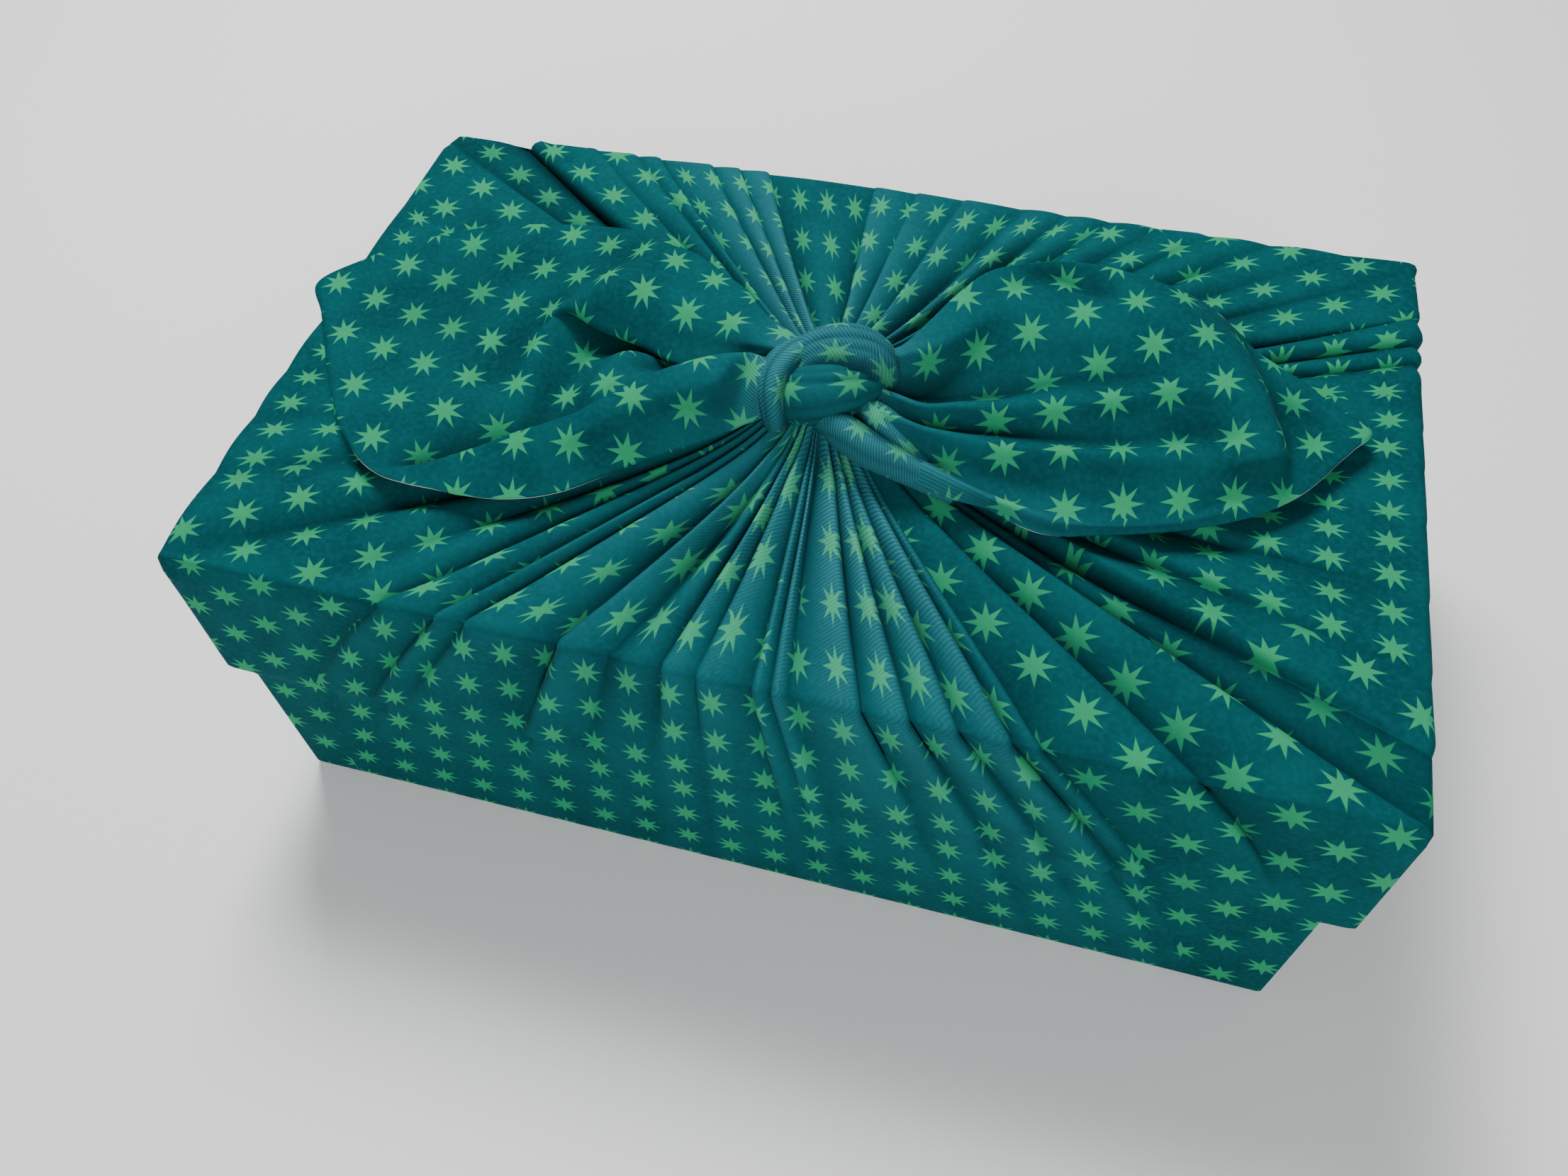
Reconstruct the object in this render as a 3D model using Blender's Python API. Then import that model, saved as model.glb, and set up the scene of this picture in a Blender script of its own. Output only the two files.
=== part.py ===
"""Furoshiki wrap: one square of stretchy cloth wrapped round a shoe-sized box.

The cloth is drawn up from all four sides into pleats that meet in a knot on
top of the box, and its two free corners spread out to the left and the right.
The wrapped bundle, the knot and the two corners are one closed solid.

Metres, +Z up. The origin is the middle of the flat underside. +X runs along
the long side to the right, +Y runs to the back.
"""
import math

import bmesh
import bpy
from mathutils import Vector

# Driving sizes of the wrapped box, cloth included
LENGTH = 0.350
DEPTH = 0.2153
HEIGHT = 0.122
LID_RIM_Z = 0.0630
BASE_INSET_X = 0.0082
BASE_INSET_Y = 0.0014
CORNER_RADIUS = 0.007
EDGE_RADIUS = 0.0055
FOOT_RADIUS = 0.003

# Where the pleats aim, and the ring of cloth that is pinched under the knot
AIM = Vector((-0.004, 0.008))
NECK = Vector((-0.001, -0.007))
NECK_HALF_X = 0.011
NECK_HALF_Y = 0.013
NECK_RISE = 0.013
NECK_FADE = 0.014
LAYER_RISE = 0.0015
LAYER_FADE = 0.045

# The free corners
CLOTH_THICK = 0.002
TAIL_ACROSS = 2
TAIL_ALONG = 14
LEFT_ROOT_X = -8.0
RIGHT_ROOT_X = 8.0

# Mesh steps of the bundle
TOP_STEPS = 8
EDGE_STEPS = 2
SIDE_STEPS = 3
WIDE_PLEAT = 7.5

CLOTH_COLOUR = (0.010, 0.105, 0.115, 1.0)
CLOTH_ROUGHNESS = 0.8

# Creases between the pleats, anticlockwise from the right-hand end.
# angle: degrees round the aim point; depth: mm below the pleats at the knot;
# rim: mm deep where it crosses the box edge; down: share of the side it runs down;
# roll: mm that the pleat just after the crease stands up, as a folded layer does.
CREASES = (
    # angle, depth, rim, down, roll
    (4.0, 1.5, 0.5, 0.5, 0.3),
    (11.5, 1.5, 0.7, 0.4, 0.4),
    (17.5, 2.0, 2.6, 0.6, 1.6),
    (20.5, 2.0, 2.8, 0.6, 1.8),
    (30.0, 2.4, 1.2, 0.5, 0.6),
    (39.0, 2.4, 1.5, 0.5, 0.8),
    (50.0, 2.6, 0.9, 0.4, 0.5),
    (59.0, 2.6, 1.3, 0.5, 0.6),
    (69.0, 2.6, 0.9, 0.4, 0.5),
    (79.0, 2.6, 1.3, 0.5, 0.5),
    (90.0, 2.8, 1.0, 0.5, 0.6),
    (100.0, 2.2, 0.6, 0.4, 0.3),
    (111.0, 2.6, 1.2, 0.5, 0.8),
    (118.0, 2.4, 1.4, 0.5, 0.8),
    (127.0, 2.6, 1.2, 0.4, 0.5),
    (136.0, 2.6, 1.2, 0.4, 0.6),
    (147.0, 3.6, 3.6, 0.6, -2.4),
    (161.0, 1.6, 0.5, 0.3, 0.3),
    (178.0, 1.5, 0.5, 0.3, 0.3),
    (193.0, 1.5, 0.6, 0.4, 0.3),
    (204.0, 1.8, 0.8, 0.4, 0.4),
    (214.0, 2.2, 1.2, 0.5, 0.4),
    (223.0, 2.2, 0.9, 0.4, 0.5),
    (231.5, 3.0, 2.0, 0.6, 1.0),
    (238.0, 2.8, 1.3, 0.5, 0.7),
    (246.0, 3.0, 2.0, 0.8, 1.0),
    (253.0, 2.8, 1.7, 0.6, 0.8),
    (262.0, 2.8, 1.2, 0.5, 0.6),
    (270.5, 3.0, 1.6, 0.6, 0.9),
    (277.0, 3.0, 1.9, 0.6, 1.2),
    (284.0, 3.0, 1.7, 0.7, 0.9),
    (292.0, 3.0, 1.6, 0.6, 0.9),
    (299.5, 2.8, 1.5, 0.7, 0.7),
    (309.0, 3.2, 2.6, 0.8, -2.0),
    (319.5, 2.0, 2.2, 0.6, 1.4),
    (329.0, 2.0, 2.4, 0.5, 1.2),
    (338.0, 1.8, 1.4, 0.5, 0.8),
    (350.0, 1.5, 0.9, 0.5, 0.5),
)

# Fold lines of the left corner, from its back hem to its front hem.
# Each runs from the knot to a point on the hem; all lengths in mm.
# rise_n: height above the box top at equal steps along the line.
LEFT_FOLDS = (
    # root_y, root_z, end_x, end_y, bow, rise_1, rise_2, rise_3, rise_4, end_z
    (3.0, 18.0, -88.0, 50.5, 9.0, 18.0, 17.0, 14.5, 12.5, 10.0),
    (0.0, 20.0, -113.0, 49.5, 7.0, 20.0, 19.0, 16.0, 12.0, 8.0),
    (-2.0, 21.0, -137.0, 41.5, 4.0, 21.0, 20.0, 17.5, 10.0, 6.0),
    (-4.0, 21.0, -163.0, 25.5, 2.0, 21.0, 19.5, 15.0, 6.5, 5.5),
    (-6.0, 20.5, -178.5, 6.6, 0.0, 20.0, 17.5, 9.5, 5.5, 5.5),
    (-9.0, 18.0, -170.0, -7.0, -2.0, 15.0, 7.5, 5.5, 6.5, 5.5),
    (-12.0, 17.0, -157.0, -29.0, -2.0, 13.5, 6.0, 5.0, 7.0, 5.5),
    (-14.5, 18.0, -143.0, -47.0, -2.0, 16.0, 9.0, 5.0, 6.5, 5.5),
    (-16.5, 20.0, -129.0, -61.5, -2.0, 21.0, 18.0, 9.0, 6.0, 6.0),
    (-18.5, 20.5, -114.5, -67.5, -2.0, 24.0, 23.5, 20.0, 13.0, 6.0),
    (-21.0, 18.5, -100.0, -70.0, -2.0, 21.0, 21.0, 19.0, 13.0, 5.5),
    (-23.5, 15.0, -88.0, -69.5, -1.0, 15.5, 14.0, 12.0, 9.0, 5.5),
    (-25.5, 13.0, -76.0, -66.5, 0.0, 12.0, 9.0, 7.0, 6.0, 5.5),
)

# Fold lines of the right corner, from its back hem to its front hem.
RIGHT_FOLDS = (
    # root_y, root_z, end_x, end_y, bow, rise_1, rise_2, rise_3, rise_4, end_z
    (3.0, 18.0, 82.0, 49.0, -7.0, 22.0, 25.0, 26.0, 25.0, 23.0),
    (0.5, 19.0, 100.0, 49.5, -6.0, 22.0, 26.0, 27.0, 24.0, 17.0),
    (-2.0, 19.5, 118.0, 43.5, -4.0, 21.0, 25.5, 28.0, 25.5, 9.0),
    (-4.5, 18.5, 138.0, 33.0, -3.0, 17.0, 22.0, 26.0, 24.0, 5.5),
    (-7.0, 18.5, 157.3, 18.2, -1.0, 16.5, 20.0, 23.0, 20.0, 5.5),
    (-9.5, 19.5, 148.5, 2.0, 0.0, 21.0, 23.5, 24.0, 18.5, 5.5),
    (-12.0, 17.5, 140.0, -10.0, 1.0, 16.5, 18.0, 19.5, 17.5, 5.5),
    (-14.5, 18.0, 128.5, -20.5, 1.0, 18.5, 19.0, 20.0, 15.5, 5.5),
    (-17.0, 18.5, 113.0, -29.0, 1.0, 20.5, 20.5, 19.0, 13.0, 5.5),
    (-19.5, 14.5, 96.0, -35.5, 0.0, 14.0, 14.0, 13.5, 10.0, 5.5),
    (-21.5, 15.5, 80.0, -40.0, 0.0, 15.5, 14.0, 12.0, 8.5, 6.0),
    (-24.0, 13.5, 66.0, -42.0, -1.0, 12.5, 11.0, 9.5, 7.5, 6.0),
)

# Bands of the knot: points along each band in mm, above the box top, with the
# half width and half thickness of its rounded section there.
KNOT_LOBE = (
    # x, y, z, half_width, half_thick
    (17.0, 0.0, 17.0, 5.0, 5.0),
    (13.5, -3.5, 23.0, 10.5, 8.0),
    (6.5, -8.5, 25.5, 13.5, 10.0),
    (-1.5, -14.0, 23.0, 12.5, 9.5),
    (-8.0, -18.5, 16.0, 8.0, 7.0),
)
KNOT_LEFT_BAND = (
    (2.0, 4.0, 20.0, 5.0, 4.0),
    (-6.0, 1.5, 26.0, 6.5, 4.5),
    (-12.5, -6.0, 26.5, 6.5, 5.0),
    (-15.0, -14.5, 21.0, 6.0, 5.0),
    (-13.5, -20.0, 13.0, 5.0, 4.5),
    (-10.0, -20.0, 8.0, 4.0, 4.0),
)
KNOT_RIGHT_BAND = (
    (2.0, -17.0, 14.0, 5.0, 4.0),
    (10.0, -22.5, 16.0, 5.5, 4.0),
    (20.0, -27.0, 14.0, 5.0, 3.4),
    (32.0, -32.5, 11.5, 4.0, 2.4),
    (46.0, -37.0, 9.5, 2.0, 1.2),
)
BAND_SIDES = 12
BAND_STEPS = 4

MM = 0.001


def smooth_step(x):
    """Ease from 0 to 1 as x goes from 0 to 1."""
    x = min(max(x, 0.0), 1.0)
    return x * x * (3.0 - 2.0 * x)


def spline(values, t):
    """Smooth curve through equally spaced numbers or vectors, t from 0 to 1."""
    last = len(values) - 1
    k = min(int(t * last), last - 1)
    u = t * last - k
    a = values[max(k - 1, 0)]
    b = values[k]
    c = values[k + 1]
    d = values[min(k + 2, last)]
    return b + (c - a) * (0.5 * u) + (a * 2.0 - b * 5.0 + c * 4.0 - d) * (0.5 * u * u) \
        + (b * 3.0 - a - c * 3.0 + d) * (0.5 * u ** 3)


def mesh_object(name, verts, faces):
    """New object from points and faces, with its faces pointing out."""
    mesh = bpy.data.meshes.new(name)
    mesh.from_pydata(verts, [], faces)
    bm = bmesh.new()
    bm.from_mesh(mesh)
    bmesh.ops.recalc_face_normals(bm, faces=bm.faces)
    bm.to_mesh(mesh)
    bm.free()
    obj = bpy.data.objects.new(name, mesh)
    bpy.context.scene.collection.objects.link(obj)
    return obj


def rim_point(angle, inset=0.0):
    """Where a ray from the aim point leaves the rounded plan of the box."""
    ray = Vector((math.cos(angle), math.sin(angle)))
    half_x = LENGTH / 2 - inset
    half_y = DEPTH / 2 - inset
    reach_x = ((half_x if ray.x > 0 else -half_x) - AIM.x) / ray.x if abs(ray.x) > 1e-9 else 9.0
    reach_y = ((half_y if ray.y > 0 else -half_y) - AIM.y) / ray.y if abs(ray.y) > 1e-9 else 9.0
    point = AIM + ray * min(reach_x, reach_y)
    radius = max(CORNER_RADIUS - inset, 0.001)
    core_x = half_x - radius
    core_y = half_y - radius
    if abs(point.x) > core_x and abs(point.y) > core_y:
        centre = Vector((math.copysign(core_x, point.x), math.copysign(core_y, point.y)))
        offset = AIM - centre
        along = offset.dot(ray)
        point = AIM + ray * (-along + math.sqrt(along * along - offset.length_squared + radius * radius))
    return point


def foot_point(angle):
    """Where the same pleat reaches the foot of the side, past the slant it runs at."""
    top = rim_point(angle)
    half = Vector((LENGTH / 2, DEPTH / 2))
    on_end = half.x - abs(top.x) < half.y - abs(top.y)
    along, across = (1, 0) if on_end else (0, 1)
    slope = (top[along] - AIM[along]) / abs(top[across] - AIM[across])
    room = half[along] - abs(top[along])
    shift = abs(slope) * HEIGHT
    left = 0.25 * room
    spare = room - shift - left
    eased = left + 0.5 * (spare + math.sqrt(spare * spare + 0.02 ** 2))
    foot = top.copy()
    if slope * top[along] > 0:
        foot[along] = math.copysign(half[along] - min(eased, room), top[along])
    return foot


def make_columns():
    """One column for each line down the bundle: creases, and points between them."""
    columns = []
    count = len(CREASES)
    for i, (angle, depth, rim, down, roll) in enumerate(CREASES):
        following = CREASES[(i + 1) % count]
        gap = (following[0] - angle) % 360.0
        steps = 5 if gap > WIDE_PLEAT else 4
        for k in range(steps):
            u = k / steps
            mix = smooth_step(u)
            columns.append({
                "angle": math.radians(angle + gap * u),
                "crown": math.sin(math.pi * u) ** 0.6 if k else 0.0,
                "depth": (depth * (1 - mix) + following[1] * mix) * MM,
                "rim": (rim * (1 - mix) + following[2] * mix) * MM,
                "down": down * (1 - mix) + following[3] * mix,
                "roll": roll * MM * max(0.0, math.sin(math.pi * min(u * 1.6, 1.0)))
                if roll > 0 else 0.0,
                "lip": -following[4] * MM * math.sin(math.pi * u) * u if following[4] < 0 else 0.0,
            })
    return columns


def column_points(column):
    """Points of one line from the neck, over the top and the side, to the foot."""
    angle = column["angle"]
    rim = rim_point(angle)
    foot = foot_point(angle)
    start = NECK + Vector((NECK_HALF_X * math.cos(angle), NECK_HALF_Y * math.sin(angle)))
    inner = rim_point(angle, EDGE_RADIUS)
    outward = (rim - inner).normalized()
    width = (inner - start).length
    points = []
    for k in range(TOP_STEPS + 1):
        share = (k / TOP_STEPS) ** 1.5
        plan = start.lerp(inner, share)
        run = share * width
        valley = column["depth"] * (1 - share) + column["rim"] * share
        valley *= smooth_step(0.35 + run / 0.025)
        bump = (column["crown"] - 1.0) * valley + column["roll"] * share + column["lip"] * share
        rise = NECK_RISE * math.exp(-run / NECK_FADE) + LAYER_RISE * math.exp(-run / LAYER_FADE)
        points.append(Vector((plan.x, plan.y, HEIGHT + rise + bump)))
    swell = (column["crown"] - 1.0) * column["rim"] + column["roll"] + column["lip"]
    for k in range(1, EDGE_STEPS + 1):
        turn = math.pi / 2 * k / EDGE_STEPS
        out = EDGE_RADIUS * math.sin(turn)
        plan = inner + outward * (out + swell * math.sin(turn))
        drop = EDGE_RADIUS * (1 - math.cos(turn))
        points.append(Vector((plan.x, plan.y, HEIGHT - drop + swell * math.cos(turn))))
    side_top = HEIGHT - EDGE_RADIUS
    levels = [side_top + (LID_RIM_Z + 0.003 - side_top) * k / SIDE_STEPS for k in range(1, SIDE_STEPS)]
    levels += [LID_RIM_Z + 0.003, LID_RIM_Z - 0.001]
    levels += [FOOT_RADIUS, 0.0]
    for z in levels:
        depth_share = (side_top - z) / side_top
        plan = rim.lerp(foot, depth_share)
        below_rim = smooth_step((LID_RIM_Z + 0.003 - z) / 0.004)
        plan.x *= 1 - below_rim * BASE_INSET_X / (LENGTH / 2)
        plan.y *= 1 - below_rim * BASE_INSET_Y / (DEPTH / 2)
        fade = max(0.0, 1 - depth_share / column["down"]) ** 1.2
        plan += outward * (swell * fade)
        if z < FOOT_RADIUS:
            plan -= outward * FOOT_RADIUS
        points.append(Vector((plan.x, plan.y, z)))
    return points


def make_bundle():
    """The cloth drawn tight round the box, as one closed solid with a flat foot."""
    lines = [column_points(column) for column in make_columns()]
    rows = len(lines[0])
    count = len(lines)
    verts = [point for line in lines for point in line]
    faces = []
    for i in range(count):
        a = i * rows
        b = ((i + 1) % count) * rows
        for k in range(rows - 1):
            faces.append((a + k, a + k + 1, b + k + 1, b + k))
    faces.append([i * rows for i in range(count)])
    faces.append([i * rows + rows - 1 for i in reversed(range(count))])
    return mesh_object("furoshiki", verts, faces)


def fold_line(row, root_x):
    """Points of one fold line of a free corner, from the knot to its hem."""
    root_y, root_z, end_x, end_y, bow = row[:5]
    start = Vector((root_x, root_y, 0.0)) * MM
    end = Vector((end_x, end_y, 0.0)) * MM
    rises = [root_z * MM] + [value * MM for value in row[5:]]
    side = Vector((end.y - start.y, start.x - end.x, 0.0)).normalized()
    points = []
    for k in range(TAIL_ALONG + 1):
        t = k / TAIL_ALONG
        point = start.lerp(end, t) + side * (bow * MM * 4 * t * (1 - t))
        point.z = HEIGHT + spline(rises, t)
        points.append(point)
    return points


def make_tail(name, folds, root_x):
    """A free corner of the cloth: a bent sheet that spreads from the knot."""
    lines = [fold_line(row, root_x) for row in folds]
    sheet = []
    across = (len(lines) - 1) * TAIL_ACROSS
    for i in range(across + 1):
        sheet.append([spline([line[k] for line in lines], i / across) for k in range(TAIL_ALONG + 1)])
    rows = across + 1
    steps = TAIL_ALONG + 1
    normals = []
    for i in range(rows):
        line = []
        for k in range(steps):
            d_across = sheet[min(i + 1, rows - 1)][k] - sheet[max(i - 1, 0)][k]
            d_along = sheet[i][min(k + 1, steps - 1)] - sheet[i][max(k - 1, 0)]
            normal = d_along.cross(d_across).normalized()
            line.append(normal if normal.z > 0 else -normal)
        normals.append(line)
    half = CLOTH_THICK / 2
    verts = [sheet[i][k] + normals[i][k] * half for i in range(rows) for k in range(steps)]
    verts += [sheet[i][k] - normals[i][k] * half for i in range(rows) for k in range(steps)]
    below = rows * steps
    faces = []
    for i in range(rows - 1):
        for k in range(steps - 1):
            a = i * steps + k
            b = a + steps
            faces.append((a, a + 1, b + 1, b))
            faces.append((below + a, below + b, below + b + 1, below + a + 1))
    border = [(0, k) for k in range(steps)] + [(i, steps - 1) for i in range(1, rows)]
    border += [(rows - 1, k) for k in reversed(range(steps - 1))] + [(i, 0) for i in reversed(range(1, rows - 1))]
    for (i, k), (m, n) in zip(border, border[1:] + border[:1]):
        a = i * steps + k
        b = m * steps + n
        faces.append((a, below + a, below + b, b))
    return mesh_object(name, verts, faces)


def make_band(name, table):
    """A rounded band of the knot, swept along its points and closed at both ends."""
    centres = [Vector((x, y, z)) * MM + Vector((0.0, 0.0, HEIGHT)) for x, y, z, _, _ in table]
    widths = [row[3] * MM for row in table]
    thicks = [row[4] * MM for row in table]
    steps = (len(table) - 1) * BAND_STEPS
    knot_middle = Vector((1.0, -11.0, 14.0)) * MM + Vector((0.0, 0.0, HEIGHT))
    verts = []
    for i in range(steps + 1):
        t = i / steps
        centre = spline(centres, t)
        ahead = spline(centres, min(t + 0.02, 1.0)) - spline(centres, max(t - 0.02, 0.0))
        ahead.normalize()
        outward = centre - knot_middle
        outward = (outward - ahead * outward.dot(ahead)).normalized()
        sideways = ahead.cross(outward)
        for k in range(BAND_SIDES):
            turn = 2 * math.pi * k / BAND_SIDES
            verts.append(centre + sideways * (spline(widths, t) * math.cos(turn))
                         + outward * (spline(thicks, t) * math.sin(turn)))
    faces = []
    for i in range(steps):
        for k in range(BAND_SIDES):
            a = i * BAND_SIDES + k
            b = i * BAND_SIDES + (k + 1) % BAND_SIDES
            faces.append((a, b, b + BAND_SIDES, a + BAND_SIDES))
    faces.append(list(reversed(range(BAND_SIDES))))
    faces.append([steps * BAND_SIDES + k for k in range(BAND_SIDES)])
    return mesh_object(name, verts, faces)


def cloth_material():
    """Matt teal stretch cloth."""
    material = bpy.data.materials.new("stretch_cloth")
    material.use_nodes = True
    shader = material.node_tree.nodes["Principled BSDF"]
    shader.inputs["Base Color"].default_value = CLOTH_COLOUR
    shader.inputs["Roughness"].default_value = CLOTH_ROUGHNESS
    shader.inputs["Metallic"].default_value = 0.0
    return material


def join_piece(whole, piece):
    """Fuse a piece of the same cloth into the whole."""
    piece.hide_render = True
    piece.display_type = "WIRE"
    union = whole.modifiers.new("join_" + piece.name, "BOOLEAN")
    union.operation = "UNION"
    union.solver = "EXACT"
    union.object = piece


def main():
    """Build the wrap from its bundle, knot and free corners."""
    for obj in list(bpy.data.objects):
        bpy.data.objects.remove(obj, do_unlink=True)
    whole = make_bundle()
    whole.data.materials.append(cloth_material())
    join_piece(whole, make_band("knot_lobe", KNOT_LOBE))
    join_piece(whole, make_tail("right_corner", RIGHT_FOLDS, RIGHT_ROOT_X))
    join_piece(whole, make_tail("left_corner", LEFT_FOLDS, LEFT_ROOT_X))
    join_piece(whole, make_band("knot_left_band", KNOT_LEFT_BAND))
    join_piece(whole, make_band("knot_right_band", KNOT_RIGHT_BAND))


main()
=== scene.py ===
"""Looks of the furoshiki wrap: pleated stretch cloth printed with stars, its knot and its free corners."""
import math

import bpy
import numpy as np
from mathutils import Matrix, Vector


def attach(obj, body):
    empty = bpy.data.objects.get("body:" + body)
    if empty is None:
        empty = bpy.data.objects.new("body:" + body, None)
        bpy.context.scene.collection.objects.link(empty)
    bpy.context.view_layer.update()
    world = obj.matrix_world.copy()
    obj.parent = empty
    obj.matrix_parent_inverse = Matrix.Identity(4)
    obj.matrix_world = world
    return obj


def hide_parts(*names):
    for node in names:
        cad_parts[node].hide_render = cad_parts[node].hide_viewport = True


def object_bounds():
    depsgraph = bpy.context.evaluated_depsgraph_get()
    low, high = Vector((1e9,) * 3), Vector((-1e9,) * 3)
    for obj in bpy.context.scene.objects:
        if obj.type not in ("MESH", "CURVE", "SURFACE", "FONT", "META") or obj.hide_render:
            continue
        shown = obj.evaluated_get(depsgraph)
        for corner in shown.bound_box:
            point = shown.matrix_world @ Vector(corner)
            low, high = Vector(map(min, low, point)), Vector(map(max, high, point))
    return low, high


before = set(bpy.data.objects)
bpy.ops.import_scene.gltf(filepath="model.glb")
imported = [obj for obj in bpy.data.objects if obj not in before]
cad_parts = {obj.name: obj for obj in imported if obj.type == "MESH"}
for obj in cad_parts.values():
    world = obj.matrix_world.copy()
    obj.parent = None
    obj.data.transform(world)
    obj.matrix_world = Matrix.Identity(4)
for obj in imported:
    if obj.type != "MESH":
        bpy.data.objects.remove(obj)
cad_low, cad_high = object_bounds()

MM = 0.001

# The wrapped box: the solid's sizes, with its edges drawn a little crisper
BOX_HALF = np.array((0.350, 0.2153)) / 2
HEIGHT = 0.122
CORNER_RADIUS = 3.5 * MM
LEAST_RADIUS = 1.0 * MM
EDGE_RADIUS = 3.2 * MM
FOOT_RADIUS = 3.0 * MM
SIDE_TOP = HEIGHT - EDGE_RADIUS
# The lid's rim: the side steps in below STEP_TOP by the base's inset, over the height STEP_DROP
STEP_TOP = 65.5 * MM
STEP_DROP = 4.5 * MM
BASE_INSET = np.array((8.2, 1.4)) * MM
# Where the pleats aim on top, the ring that they start from at the knot, and how the cloth rises to it
AIM = np.array((-0.004, 0.008))
NECK = np.array((-0.001, -0.007))
NECK_HALF = np.array((0.011, 0.013))
NECK_RISE = 13.0 * MM
NECK_FADE = 14.0 * MM
LAYER_RISE = 1.5 * MM
LAYER_FADE = 45.0 * MM

# Mesh steps of the bundle. Between two creases there is one column more for each degree.
SOFT_COLUMNS = 8
LAPPED_COLUMNS = 11
NOSE_STEPS = 5
TOP_ROWS = 58
ROW_CROWDING = 1.35
EDGE_ROWS = 6
SIDE_ROWS = 30
STEP_ROWS = 5
CURL_ROWS = 3

# Cross-section of the pleats. The nose is the rounded edge that laps over the next pleat.
NOSE_DEGREES = 1.3
NOSE_LEAST = 0.10
NOSE_MOST = 0.34
LAP_FALL = 1.4
SOFT_FALL = 1.1
# Run of the pleats, in metres: flatter where they come out of the knot, deeper half way
KNOT_SHARE = 0.35
KNOT_EASE = 0.02
MID_SWELL = 0.6
# Slow waves along the pleats: their lengths, and how far they shift and lift a pleat
RIPPLES = np.array((0.021, 0.034, 0.055))
RIPPLE_SWAY = 0.35 * MM
RIPPLE_RISE = 0.10
SWAY_EASE = 0.03
RIM_EASE = 0.02
# Down the sides: how long a pleat keeps its depth, how near it comes to a corner, how fast it bends
SIDE_HOLD = 1.25
END_SHARE = 0.25
END_EASE = 0.02
MOST_BEND = 2.8

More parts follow.
